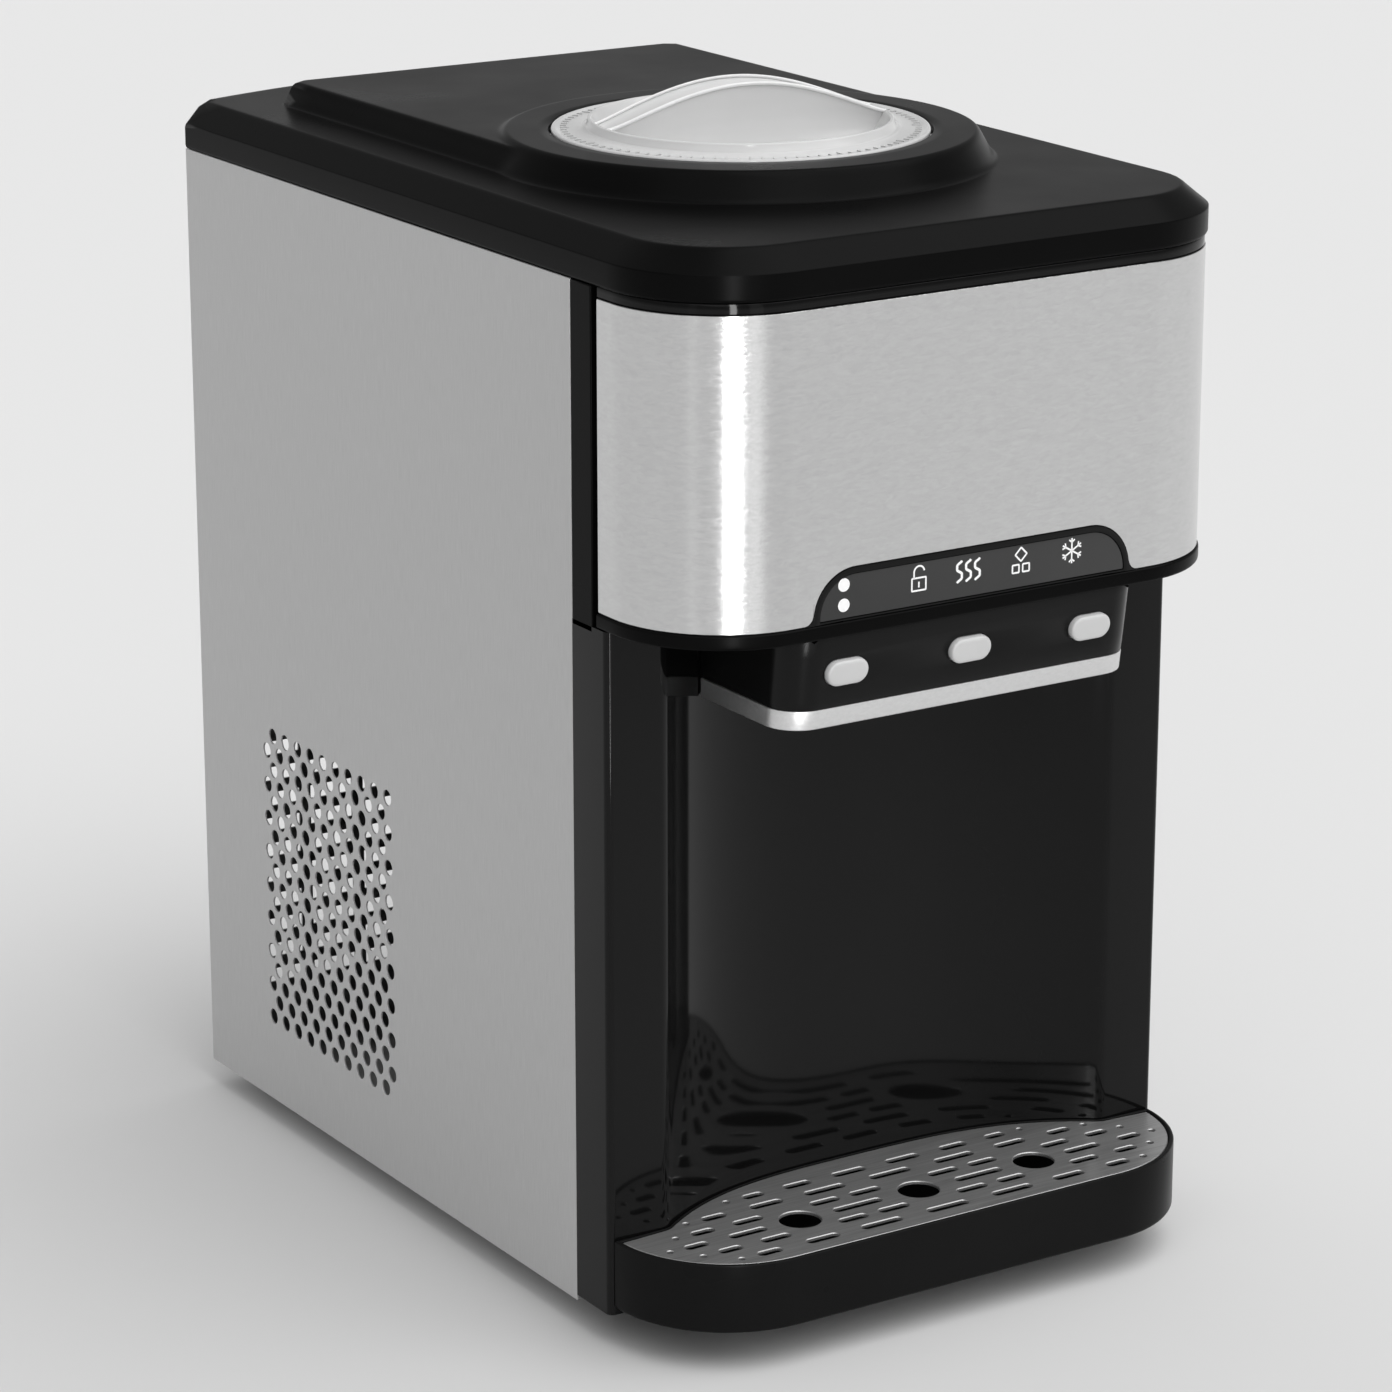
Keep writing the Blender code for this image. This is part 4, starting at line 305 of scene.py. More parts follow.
def aimed(name, data, heading, height):
    """A lamp turned to a heading, and the way from the part towards it."""
    item = placed(name, data)
    turn = math.radians(heading)
    rise = math.radians(height)
    towards = Vector((
        -math.sin(turn) * math.cos(rise), -math.cos(turn) * math.cos(rise), math.sin(rise)
    ))
    item.rotation_mode = "QUATERNION"
    item.rotation_quaternion = towards.to_track_quat("Z", "Y")
    return item, towards


def lamp(name, heading, height, strength, spread):
    """A broad soft lamp from a heading, in degrees from the front towards the left."""
    data = bpy.data.lights.new(name, "SUN")
    data.energy = strength
    data.angle = math.radians(spread)
    aimed(name, data, heading, height)


def strip_lamp(name, heading, width, reach, power, low=0.02, high=1.1):
    """A tall narrow lamp before the left front corner, which shows as a stripe in the metal."""
    data = bpy.data.lights.new(name, "AREA")
    data.shape = "RECTANGLE"
    data.size = width
    data.size_y = high - low
    data.energy = power
    item, towards = aimed(name, data, heading, 0)
    corner = Vector((corner_radius - half_width, front_y + corner_radius, (low + high) / 2))
    item.location = corner + towards * reach
    item.visible_camera = False
    item.visible_diffuse = False


lamp("key", heading=-38, height=58, strength=1.6, spread=66)
lamp("fill", heading=35, height=50, strength=0.5, spread=60)
strip_lamp("corner_stripe", heading=23, width=0.07, reach=0.72, power=3.8)
strip_lamp("corner_glow", heading=58, width=0.10, reach=0.80, power=0.05)
strip_lamp("front_glow", heading=3, width=0.15, reach=0.74, power=0.24)

photo_width = 1392
focal_pixels = 4870.9
film_width = 36
camera_place = (-1.1071, -1.7478, 0.8441)
camera_dip = math.radians(16.832)
camera_turn = math.radians(32.507)
camera_data = bpy.data.cameras.new("camera")
camera_data.sensor_width = film_width
camera_data.lens = focal_pixels * film_width / photo_width
camera = placed("camera", camera_data)
camera.location = camera_place
camera.rotation_euler = (math.pi / 2 - camera_dip, 0, -camera_turn)
camera_data.clip_start = 0.05
camera_data.clip_end = 100
world_scene.camera = camera
world_scene.view_settings.view_transform = "Standard"


# Outlines in a plane


def polar(centre, radius, degrees):
    """The point of a circle at an angle."""
    turn = math.radians(degrees)
    return (centre[0] + radius * math.cos(turn), centre[1] + radius * math.sin(turn))


def circle(centre, radius, steps):
    """A circle as a closed outline."""
    return [polar(centre, radius, 360 * i / steps) for i in range(steps)]


def rounded(corners, arc_step=5):
    """An outline from corners given as (x, y, radius)."""
    outline = []
    for i, (x, y, radius) in enumerate(corners):
        here = Vector((x, y))
        if not radius:
            outline.append((x, y))
            continue
        before = (Vector(corners[i - 1][:2]) - here).normalized()
        after = (Vector(corners[(i + 1) % len(corners)][:2]) - here).normalized()
        half_angle = before.angle(after) / 2
        centre = here + (before + after).normalized() * (radius / math.sin(half_angle))
        start_point = here + before * (radius / math.tan(half_angle)) - centre
        turn = math.pi - 2 * half_angle
        steps = max(2, round(math.degrees(turn) / arc_step))
        if before.cross(after) > 0:
            turn = -turn
        for step in range(steps + 1):
            outline.append(tuple(centre + Matrix.Rotation(turn * step / steps, 2) @ start_point))
    return outline


def stadium(centre, width, height, steps=8):
    """A slot outline with a half circle at each end."""
    radius = height / 2
    reach = width / 2 - radius
    right = [polar((centre[0] + reach, centre[1]), radius, -90 + 180 * i / steps)
             for i in range(steps + 1)]
    left = [polar((centre[0] - reach, centre[1]), radius, 90 + 180 * i / steps)
            for i in range(steps + 1)]
    return right + left


def offset(path, distance, closed=False):
    """A path moved to its left by a distance, with mitred corners."""
    moved_path = []
    last = len(path) - 1
    for i, point in enumerate(path):
        here = Vector(point)
        normals = []
        if closed or i > 0:
            step = here - Vector(path[i - 1])
            normals.append(Vector((-step.y, step.x)).normalized())
        if closed or i < last:
            step = Vector(path[(i + 1) % len(path)]) - here
            normals.append(Vector((-step.y, step.x)).normalized())
        bisector = (normals[0] + normals[-1]).normalized()
        moved_path.append(tuple(here + bisector * (distance / bisector.dot(normals[0]))))
    return moved_path


def mirrored(outline):
    """An outline with left and right exchanged."""
    return [(-x, y) for x, y in reversed(outline)]


# Meshes


def skin(rings):
    """Faces between rings of equally many points, open at both ends."""
    count = len(rings[0])
    points = [point for ring in rings for point in ring]
    faces = []
    for start in range(0, len(points) - count, count):
        for i in range(count):
            j = (i + 1) % count
            faces.append((start + i, start + j, start + count + j, start + count + i))
    return points, faces


def loft(rings):
    """A skin through rings of points, capped at both ends."""
    points, faces = skin(rings)
    count = len(rings[0])
    caps = [tuple(range(count)), tuple(range(len(points) - count, len(points)))]
    return points, caps + faces


def stack(levels):
    """Plan outlines, each at its height, skinned from the first to the last."""
    return loft([[(x, y, z) for x, y in outline] for outline, z in levels])


def turned(profile, steps, centre):
    """(radius, height) pairs turned about a vertical axis."""
    points = []
    faces = []
    rows = []
    for radius, z in profile:
        if radius:
            rows.append([len(points) + i for i in range(steps)])
            points += [(x, y, z) for x, y in circle(centre, radius, steps)]
        else:
            rows.append([len(points)] * steps)
            points.append((*centre, z))
    for lower, upper in zip(rows, rows[1:]):
        for i in range(steps):
            j = (i + 1) % steps
            corners = list(dict.fromkeys((lower[i], lower[j], upper[j], upper[i])))
            if len(corners) > 2:
                faces.append(tuple(corners))
    return points, faces


def group(shapes):
    """Several separate shapes in one."""
    points = []
    faces = []
    for shape_points, shape_faces in shapes:
        start = len(points)
        points += shape_points
        faces += [tuple(start + index for index in face) for face in shape_faces]
    return points, faces


def new_object(name, shape, slot, body="machine", smooth=35, look=None):
    """A piece with a mesh, its surface and its body."""
    points, faces = shape
    mesh = bpy.data.meshes.new(name)
    mesh.from_pydata([tuple(point) for point in points], [], faces)
    work = bmesh.new()
    work.from_mesh(mesh)
    bmesh.ops.recalc_face_normals(work, faces=work.faces)
    work.to_mesh(mesh)
    work.free()
    return dress(placed(name, mesh), slot, body, smooth, look)


def dress(item, slot, body, smooth, look):
    """Gives a piece its surface, its smoothing and the body it rides on."""
    item.data.materials.clear()
    item.data.materials.append(surfaces[look or slot])
    item.data.shade_smooth()
    item.data.set_sharp_from_angle(angle=math.radians(smooth))
    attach(item, body)
    return item


def soften(item, width):
    """Rounds the edges of a piece or a CAD node."""
    bevel = item.modifiers.new("soft_edges", "BEVEL")
    bevel.width = width
    bevel.segments = 2
    bevel.limit_method = "ANGLE"
    bevel.angle_limit = math.radians(30)
    bevel.miter_outer = "MITER_ARC"


def punched_sheet(name, outline, holes, thickness, edge, rounds=1):
    """A flat sheet with holes in its own plane, its middle at zero, with soft edges."""
    data = bpy.data.curves.new(name, "CURVE")
    data.dimensions = "2D"
    data.fill_mode = "BOTH"
    data.extrude = thickness / 2 - edge
    data.bevel_depth = edge
    data.bevel_resolution = rounds
    data.offset = -edge
    for loop in [outline] + holes:
        spline = data.splines.new("POLY")
        spline.points.add(len(loop) - 1)
        for place, point in zip(spline.points, loop):
            place.co = (point[0], point[1], 0, 1)
        spline.use_cyclic_u = True
    item = placed(name, data)
    mesh = bpy.data.meshes.new_from_object(
        item.evaluated_get(bpy.context.evaluated_depsgraph_get())
    )
    bpy.data.objects.remove(item)
    bpy.data.curves.remove(data)
    work = bmesh.new()
    work.from_mesh(mesh)
    bmesh.ops.remove_doubles(work, verts=work.verts, dist=0.00002)
    work.to_mesh(mesh)
    work.free()
    mesh.name = name
    return mesh


def bent_sheet(mesh, cuts, place):
    """A flat sheet cut across at some x places, then every point moved by a rule."""
    work = bmesh.new()
    work.from_mesh(mesh)
    for x in cuts:
        bmesh.ops.bisect_plane(
            work, geom=work.verts[:] + work.edges[:] + work.faces[:],
            plane_co=(x, 0, 0), plane_no=(1, 0, 0), dist=0.00001,
        )
    for vertex in work.verts:
        vertex.co = place(vertex.co)
    bmesh.ops.recalc_face_normals(work, faces=work.faces)
    work.to_mesh(mesh)
    work.free()
    return mesh


def sheet_piece(mesh, slot, body="machine", smooth=35, look=None):
    """A piece from a ready mesh."""
    return dress(placed(mesh.name, mesh), slot, body, smooth, look)


def flat_on_x(x):
    """Places a sheet's (across, up) as (y, z) on a plane of constant x."""
    return lambda co: Vector((x + co.z, co.x, co.y))


def flat_on_z(z):
    """Leaves a sheet in plan and lifts it."""
    return lambda co: Vector((co.x, co.y, z + co.z))


def wrapped(co, flat, radius, front, out):
    """A sheet's (along, up) laid on a flat front, round its corners and back along its sides,
    so far out from the face."""
    arc = radius * math.pi / 2
    along = abs(co.x)
    side = -1 if co.x < 0 else 1
    if along <= flat:
        x = along
        y = front - out
    elif along <= flat + arc:
        turn = (along - flat) / radius
        x = flat + (radius + out) * math.sin(turn)
        y = front + radius - (radius + out) * math.cos(turn)
    else:
        x = flat + radius + out
        y = front + radius + along - flat - arc
    return Vector((side * x, y, co.y))


# Side panels: the left one with its field of round vents, the right one with slots

sheet = 0.001
panel_top = side_top - gap
flange_width = 0.011
flange_back = back_y - sheet - gap
field_start = face_y + 0.157
field_low = 0.0533
vent_columns = 20
vent_rows = 9
vent_step = 0.0059
vent_rise = 0.01606
vent_radius = 0.0036
slot_columns = 3
slot_rows = 8
slot_step = 0.028
slot_rise = 0.0125
slot_width = 0.022
slot_height = 0.0065
slot_corner = 0.0012
vents = []
for column in range(vent_columns):
    raised = vent_rise / 2 if (vent_columns - 1 - column) % 2 else 0
    for row in range(vent_rows):
        vents.append(circle(
            (field_start + column * vent_step, field_low + row * vent_rise + raised),
            vent_radius, 20,
        ))
panel_face = [(face_y, side_bottom), (back_y, side_bottom), (back_y, panel_top), (face_y, panel_top)]
slots = []
for column in range(slot_columns):
    for row in range(slot_rows):
        y = field_start + column * slot_step
        z = field_low + row * slot_rise
        slots.append(rounded([
            (y, z, slot_corner), (y + slot_width, z, slot_corner),
            (y + slot_width, z + slot_height, slot_corner), (y, z + slot_height, slot_corner),
        ], 22))


def side_panel(name, side, holes):
    """A side panel with its rear flange turned inwards."""
    skin = bent_sheet(
        punched_sheet(name, panel_face, holes, sheet, 0.0002), [],
        flat_on_x(side * (half_width - sheet / 2)),
    )
    flange = loft([
        [(side * x, flange_back - sheet * d, z) for x, d in (
            (half_width - sheet, 0), (half_width - sheet - flange_width, 0),
            (half_width - sheet - flange_width, 1), (half_width - sheet, 1),
        )] for z in (side_bottom, panel_top)
    ])
    work = bmesh.new()
    work.from_mesh(skin)
    points = [work.verts.new(point) for point in flange[0]]
    for face in flange[1]:
        work.faces.new([points[i] for i in face])
    bmesh.ops.recalc_face_normals(work, faces=work.faces)
    work.to_mesh(skin)
    work.free()
    return sheet_piece(skin, "side_steel", smooth=20)


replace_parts(side_panel("vented_left_panel", -1, vents), "left_side_panel")
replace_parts(side_panel("slotted_right_panel", 1, slots), "right_side_panel")


# The bulge: the path round its face, from the left rear edge to the right rear edge

bulge_gap = 0.0189
bulge_rear = face_y - bulge_gap
flat_half = half_width - corner_radius


def bulge_place(inset):
    """Lays a sheet's (along, up, out) on the bulge at an inset."""
    return lambda co: wrapped(co, flat_half, corner_radius - inset, front_y + inset, co.z)


def bulge_half(inset):
    """Half the developed length of the bulge's face at an inset."""
    return flat_half + (corner_radius - inset) * math.pi / 2 + bulge_rear - front_y - corner_radius


def bulge_cuts(inset, steps=30):
    """Where a sheet on the bulge is cut so that it can bend."""
    arc = (corner_radius - inset) * math.pi / 2
    places = [flat_half + arc * i / steps for i in range(steps + 1)]
    return [side * x for side in (-1, 1) for x in places]


display_half = 0.0777
display_top = 0.337
display_radius = 0.020
foot_fillet = 0.0045

steel_inset = 0.0008
steel_sheet = 0.0008
steel_corner = 0.0008
steel_low = trim_top + gap
steel_high = band_bottom - gap
steel_middle = steel_inset + steel_sheet / 2
reach = bulge_half(steel_middle)
steel_outline = rounded([
    (-reach, steel_low, steel_corner), (-display_half, steel_low, foot_fillet),
    (-display_half, display_top, display_radius), (display_half, display_top, display_radius),
    (display_half, steel_low, foot_fillet), (reach, steel_low, steel_corner),
    (reach, steel_high, steel_corner), (-reach, steel_high, steel_corner),
], 6)
steel_mesh = bent_sheet(
    punched_sheet("wrapped_steel_front", steel_outline, [], steel_sheet, 0.00025),
    bulge_cuts(steel_middle), bulge_place(steel_middle),
)
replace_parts(sheet_piece(steel_mesh, "front_steel", smooth=20), "front_steel_panel")


def front_path(inset):
    """The bulge's face in plan, from its left rear edge round to its right rear edge."""
    edge = half_width - inset
    radius = corner_radius - inset
    return rounded([
        (-edge, bulge_rear, 0), (-edge, front_y + inset, radius),
        (edge, front_y + inset, radius), (edge, bulge_rear, 0),
    ], 3)


def wall(sections):
    """A wall along the bulge from (inset, height) pairs round its section."""
    rings = [[(x, y, z) for x, y in front_path(inset)] for inset, z in sections]
    count = len(rings[0])
    columns = [[ring[i] for ring in rings] for i in range(count)]
    return loft(columns)


wall_inset = 0.0035
shell_inset = 0.0019
shell_wall = 0.002
trim_ring = wall([
    (0.0005, trim_bottom + 0.0001), (0.0001, trim_bottom + 0.0006), (0.0, trim_bottom + 0.0012),
    (0.0, trim_top - 0.0011), (0.0001, trim_top - 0.0005), (0.0005, trim_top - 0.0001),
    (0.0010, trim_top), (wall_inset, trim_top), (wall_inset, trim_bottom), (0.0011, trim_bottom),
])
band_ring = wall([
    (0.0012, band_bottom + 0.0004), (0.0012, side_top - 0.0007), (0.0015, side_top - gap),
    (wall_inset, side_top - gap), (wall_inset, band_bottom), (0.0016, band_bottom),
])
shell_ring = wall([
    (shell_inset + depth, z) for depth, z in (
        (0, trim_bottom + 0.001), (0, side_top - 0.001),
        (shell_wall, side_top - 0.001), (shell_wall, trim_bottom + 0.001),
    )
])
shell = new_object("housing_shell", group([trim_ring, shell_ring]), "satin_black", smooth=40)
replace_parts(shell, "front_housing")
band = new_object("cover_band", band_ring, "gloss_black", smooth=40)
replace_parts(band, "front_housing")
ceiling_sheet = 0.0023
tongue_half = 0.1212
tongue_rear = face_y + 0.0025
ceiling_outline = front_path(0.0022) + [
    (tongue_half, bulge_rear), (tongue_half, tongue_rear),
    (-tongue_half, tongue_rear), (-tongue_half, bulge_rear),
]
opening_half = 0.075
opening_front = front_y + 0.012
opening_rear = bulge_rear + 0.002
chute_half = 0.030
ceiling_hole = rounded([
    (-opening_half, opening_front, 0.004), (opening_half, opening_front, 0.004),
    (opening_half, opening_rear, 0.002), (chute_half, opening_rear, 0),
    (chute_half, face_y + 0.001, 0), (-chute_half, face_y + 0.001, 0),
    (-chute_half, opening_rear, 0), (-opening_half, opening_rear, 0.002),
], 15)
ceiling = bent_sheet(
    punched_sheet("housing_ceiling", ceiling_outline, [ceiling_hole], ceiling_sheet, 0.0002), [],
    flat_on_z(trim_bottom + 0.0002 + ceiling_sheet / 2),
)
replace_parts(sheet_piece(ceiling, "satin_black"), "front_housing")


# Display: black border, smoked window and its pictograms

display_face = front_y + 0.0006
border_sheet = 0.0009
border_width = 0.0028
border_foot = 0.0042
border_lift = 0.0008
window_sheet = 0.0007
window_gap = 0.0003
window_depth = 0.0006
mark_depth = 0.00018


def display_outline(inset, low_lift):
    """The display's arched shape, moved in."""
    edge = display_half - inset
    low = trim_top + gap + low_lift
    radius = display_radius - inset
    return rounded([
        (-edge, low, 0.0004), (edge, low, 0.0004),
        (edge, display_top - inset, radius), (-edge, display_top - inset, radius),
    ], 5)


def on_front(y):
    """Lays a sheet's (across, up, out) on a plane that faces the front."""
    return lambda co: Vector((co.x, y - co.z, co.y))


border_half = display_half - gap
border_low = trim_top + gap
border_outer = rounded([
    (-display_half - border_foot, border_low, 0), (display_half + border_foot, border_low, 0),
    (border_half, border_low + 0.0001, foot_fillet),
    (border_half, display_top - gap, display_radius - gap),
    (-border_half, display_top - gap, display_radius - gap),
    (-border_half, border_low + 0.0001, foot_fillet),
], 5)
border = bent_sheet(
    punched_sheet("display_border", border_outer, [display_outline(border_width, border_lift)],
                  border_sheet, 0.0002), [],
    on_front(display_face + border_sheet / 2),
)
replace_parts(sheet_piece(border, "gloss_black"), "display_bezel")
window_outline = display_outline(border_width + window_gap, border_lift + window_gap)
window = bent_sheet(
    punched_sheet("smoked_window", window_outline, [], window_sheet, 0.0001), [],
    on_front(display_face + window_depth),
)
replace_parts(sheet_piece(window, "display_window"), "display_window")


def ribbon(points, width, closed=False):
    """A flat line of a width through points, its corners mitred."""
    left = offset(points, width / 2, closed)
    right = offset(points, -width / 2, closed)
    count = len(points)
    flat = left + right
    faces = []
    for i in range(count if closed else count - 1):
        j = (i + 1) % count
        faces.append((i, j, count + j, count + i))
    return [(x, 0, z) for x, z in flat], faces


def disc(centre, radius, steps):
    """A filled circle."""
    return [(x, 0, z) for x, z in circle(centre, radius, steps)], [tuple(range(steps))]


def arc(centre, radius, start_angle, end_angle, steps=12):
    """Points along an arc."""
    return [polar(centre, radius, start_angle + (end_angle - start_angle) * i / steps)
            for i in range(steps + 1)]


def outlined(corners):
    """A closed line through soft corners."""
    return ribbon(rounded([(x, z, 0.0003) for x, z in corners], 30), fine, True)


stroke = 0.0011
fine = 0.00075
lamp_x = -0.0635
lamp_radius = 0.00275
marks = [disc((lamp_x, z), lamp_radius, 32) for z in (0.3300, 0.3217)]

lock_x = -0.0274
lock_z = 0.3250
lock_width = 0.0068
lock_height = 0.0052
hasp_radius = 0.0025
hasp_left = lock_x - 0.0024
hasp_z = lock_z + 0.0050
marks.append(outlined([
    (lock_x + a * lock_width / 2, lock_z + b * lock_height / 2)
    for a, b in ((-1, -1), (1, -1), (1, 1), (-1, 1))
]))
marks.append(ribbon(
    [(hasp_left, lock_z + lock_height / 2), (hasp_left, hasp_z)]
    + arc((hasp_left + hasp_radius, hasp_z), hasp_radius, 172, 8), fine))
marks.append(ribbon([(lock_x, lock_z - 0.0014), (lock_x, lock_z + 0.0010)], fine))

steam_x = -0.0032
steam_z = 0.3271
steam_step = 0.0044
steam_height = 0.0090
steam_sway = 0.0014
steam_points = 30
for wave_x in (-steam_step, 0.0, steam_step):
    wave = []
    for i in range(steam_points + 1):
        share = i / steam_points
        sway = (share - 0.5) * math.pi * 2.5
        wave.append((
            steam_x + wave_x - steam_sway * (math.sin(sway) + 0.17 * math.sin(3 * sway)),
            steam_z + steam_height * (share - 0.5),
        ))
    marks.append(ribbon(wave, stroke))

cube_x = 0.0228
cube_step = 0.00255
for centre, size, lean in (((cube_x - cube_step, 0.3242), 0.0023, 45),
                           ((cube_x + cube_step, 0.3242), 0.0023, 45),
                           ((cube_x, 0.3300), 0.0029, 0)):
    marks.append(outlined([polar(centre, size, lean + 90 * i) for i in range(4)]))

flake_centre = (0.0483, 0.3278)
flake = 0.0053
knee_share = 0.66
twig_share = 0.34
arms = 6
for arm in range(arms):
    lean = 90 + 360 / arms * arm
    marks.append(ribbon([flake_centre, polar(flake_centre, flake, lean)], fine))
    knee = polar(flake_centre, flake * knee_share, lean)
    for side_lean in (-50, 50):
        marks.append(
            ribbon([knee, polar(knee, flake * twig_share, lean + side_lean)], fine * 0.9)
        )
mark_points, mark_faces = group(marks)
mark_points = [(x, display_face + mark_depth, z) for x, y, z in mark_points]
ink = Surface("pictogram_white", grey(245), 0.45,
              Emission_Color=(1, 1, 1, 1), Emission_Strength=0.12)
ink.colour(ink.noise((900, 900, 900)), grey(238), grey(250))
new_object("display_pictograms", (mark_points, mark_faces), "button_grey", look="pictogram_white")


# Button housing, metal strip and buttons

housing_half = 0.0865
housing_radius = 0.015
housing_step = 0.0018
housing_sheet = 0.0025
housing_rear = -0.1499
housing_depth = 0.052
face_tilt = math.radians(8)
lean = math.sin(face_tilt)
rise = math.cos(face_tilt)
console_low = 0.2786
strip_low = 0.2700
strip_high = console_low - gap
button_width = 0.0196
button_height = 0.0106
button_gap = 0.0008
button_pitch = 0.0601
button_places = {"hot_button": -button_pitch, "ice_button": 0.0, "cold_button": button_pitch}
button_z = trim_bottom - 0.0156


def housing_face_y(z):
    """The leaning front face at a height."""
    return front_y + housing_step + (trim_bottom - z) * math.tan(face_tilt)


housing_flat = housing_half - housing_radius
housing_arc = housing_radius * math.pi / 2
bend_steps = 16


def housing_place(co):
    """Lays a sheet's (along, up, out) on the leaning face of the button housing."""
    point = wrapped(
        co, housing_flat, housing_radius, housing_face_y(co.y), co.z - housing_sheet / 2
    )
    point.y = min(point.y, housing_rear)
    return point


def housing_band(name, low, high, corner, holes, edge):
    """A sheet round the button housing between two heights."""
    half = housing_flat + housing_arc + housing_depth
    outline = rounded(
        [(-half, low, corner), (half, low, corner), (half, high, corner), (-half, high, corner)], 30
    )
    cuts = [
        side * (housing_flat + housing_arc * i / bend_steps)
        for side in (-1, 1) for i in range(bend_steps + 1)
    ]
    return bent_sheet(punched_sheet(name, outline, holes, housing_sheet, edge), cuts, housing_place)


housing_holes = [
    [(x, button_z + (z - button_z) * rise) for x, z in
     stadium((place, button_z), button_width + button_gap, button_height + button_gap, 12)]
    for place in button_places.values()
]
console = housing_band(
    "button_console", console_low, trim_bottom - gap, 0, housing_holes, 0.0003
)
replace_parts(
    sheet_piece(console, "gloss_black", smooth=30, look="console_black"), "button_housing"
)
strip = housing_band("metal_strip", strip_low, strip_high, 0.0003, [], 0.00045)
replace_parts(sheet_piece(strip, "strip_metal", smooth=30), "button_strip")

# Inset and height of a button cap's rings, out of the leaning face
cap_profile = (
    (-0.0018, -0.0041), (-0.0018, -0.0029), (0.0, -0.0029), (0.0, 0.0014), (0.0001, 0.0018),
    (0.0003, 0.0021), (0.0007, 0.00235), (0.0012, 0.00247), (0.0020, 0.0025), (0.0045, 0.0025),
)
for name, x in button_places.items():
    frame_at = Matrix((
        (1, 0, 0, x), (0, -lean, -rise, housing_face_y(button_z)), (0, rise, -lean, button_z),
        (0, 0, 0, 1),
    ))
    points, faces = loft([
        [(a, b, height) for a, b in
         stadium((0, 0), button_width - inset * 2, button_height - inset * 2, 14)]
        for inset, height in cap_profile
    ])
    points = [frame_at @ Vector(point) for point in points]
    cap = new_object(name + "_cap", (points, faces), "button_grey", body=name, smooth=50)
    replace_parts(cap, name)


# Front frame: columns, niche wall, posts and the rail between them

niche_depth = 0.0265
niche_half = 0.1122
niche_power = 3.2
niche_end = 0.96
column_y = face_y - niche_depth
frame_wall = 0.0025
frame_low = 0.0145
frame_high = trim_bottom - gap


def niche_corners(end_x, steps=36):
    """The niche's visible face from one column to the other, as rounded corners."""
    shares = [i / steps for i in range(1 - steps, steps)]
    shares = [share for share in shares if abs(share) < niche_end - 0.005]
    curve = [
        (niche_half * share, face_y - niche_depth * abs(share) ** niche_power, 0)
        for share in [-niche_end] + shares + [niche_end]
    ]
    start = [(-end_x, column_y, 0), (-niche_half, column_y, 0.008)]
    end = [(niche_half, column_y, 0.008), (end_x, column_y, 0)]
    return start + curve + end


corners = niche_corners(half_width)
corners[0] = (-half_width, column_y, 0.003)
corners[-1] = (half_width, column_y, 0.003)
frame_start = face_y - gap
face_line = rounded(
    [(-half_width, frame_start, 0)] + corners + [(half_width, frame_start, 0)], 6
)
inner_line = offset(face_line, frame_wall)[1:-1]
flange_end = face_y + 0.012
flange_outer = half_width - 0.0013
flange_inner = half_width - frame_wall
lip = [(flange_outer, frame_start), (flange_outer, flange_end), (flange_inner, flange_end)]
frame_plan = face_line + lip + inner_line[::-1] + mirrored(lip)
frame_skin = new_object(
    "niche_and_columns", stack([(frame_plan, frame_low), (frame_plan, frame_high)]),
    "gloss_black", smooth=28,
)
notch_reach = 0.005
notch_low = trim_bottom - 0.0258
notch_high = trim_bottom + 0.004
notch_plan = [
    (x * chute_half, face_y + y * notch_reach) for x, y in ((-1, -1), (1, -1), (1, 1), (-1, 1))
]
notch = new_object(
    "niche_notch", stack([(notch_plan, notch_low), (notch_plan, notch_high)]), "gloss_black"
)
chop = frame_skin.modifiers.new("notch", "BOOLEAN")
chop.operation = "DIFFERENCE"
chop.solver = "EXACT"
chop.object = notch
bpy.context.view_layer.update()
carved = bpy.data.meshes.new_from_object(
    frame_skin.evaluated_get(bpy.context.evaluated_depsgraph_get())
)
frame_skin.modifiers.clear()
frame_skin.data = carved
bpy.data.objects.remove(notch)
frame_skin.data.shade_smooth()
frame_skin.data.set_sharp_from_angle(angle=math.radians(20))
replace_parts(frame_skin, "front_frame")

post_y = face_y - 0.0157
post_rear = post_y + frame_wall
post_half = 0.1215
post_plan = [
    (-half_width, frame_start), (-half_width, post_y), (-post_half, post_y),
    (-post_half, post_rear), (-flange_inner, post_rear),
    (-flange_inner, flange_end), (-flange_outer, flange_end), (-flange_outer, frame_start),
]
cap_half = half_width - 0.001
cap_inner = niche_half + frame_wall
cap_plan = [
    (-cap_half, column_y + 0.001), (-cap_inner, column_y + 0.001),
    (-cap_inner, frame_start), (-cap_half, frame_start),
]
post_low = frame_high - frame_wall
housing_top = side_top - gap
rail_half = 0.124
rail_height = 0.012
rail_plan = [
    (-rail_half, post_y), (rail_half, post_y), (rail_half, post_rear), (-rail_half, post_rear)
]
posts = new_object("upper_posts", group(
    [stack([(plan, post_low), (plan, housing_top)]) for plan in (post_plan, mirrored(post_plan))]
    + [stack([(plan, post_low), (plan, frame_high)]) for plan in (cap_plan, mirrored(cap_plan))]
    + [stack([(rail_plan, housing_top - rail_height), (rail_plan, housing_top)])]
), "satin_black", smooth=30)
soften(posts, 0.0005)
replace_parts(posts, "front_frame")


# Drip tray with a soft rim, and the punched grille

tray_half = 0.138
tray_radius = 0.0549
tray_low = 0.0177
tray_top = 0.0480
tray_rim = 0.0020
tray_wall = 0.0050
tray_floor = tray_low + 0.0030
tray_clearance = 0.0005
tray_rear_share = 0.45
grille_seat = 0.0457
grille_sheet = 0.0017
grille_lift = 0.0001


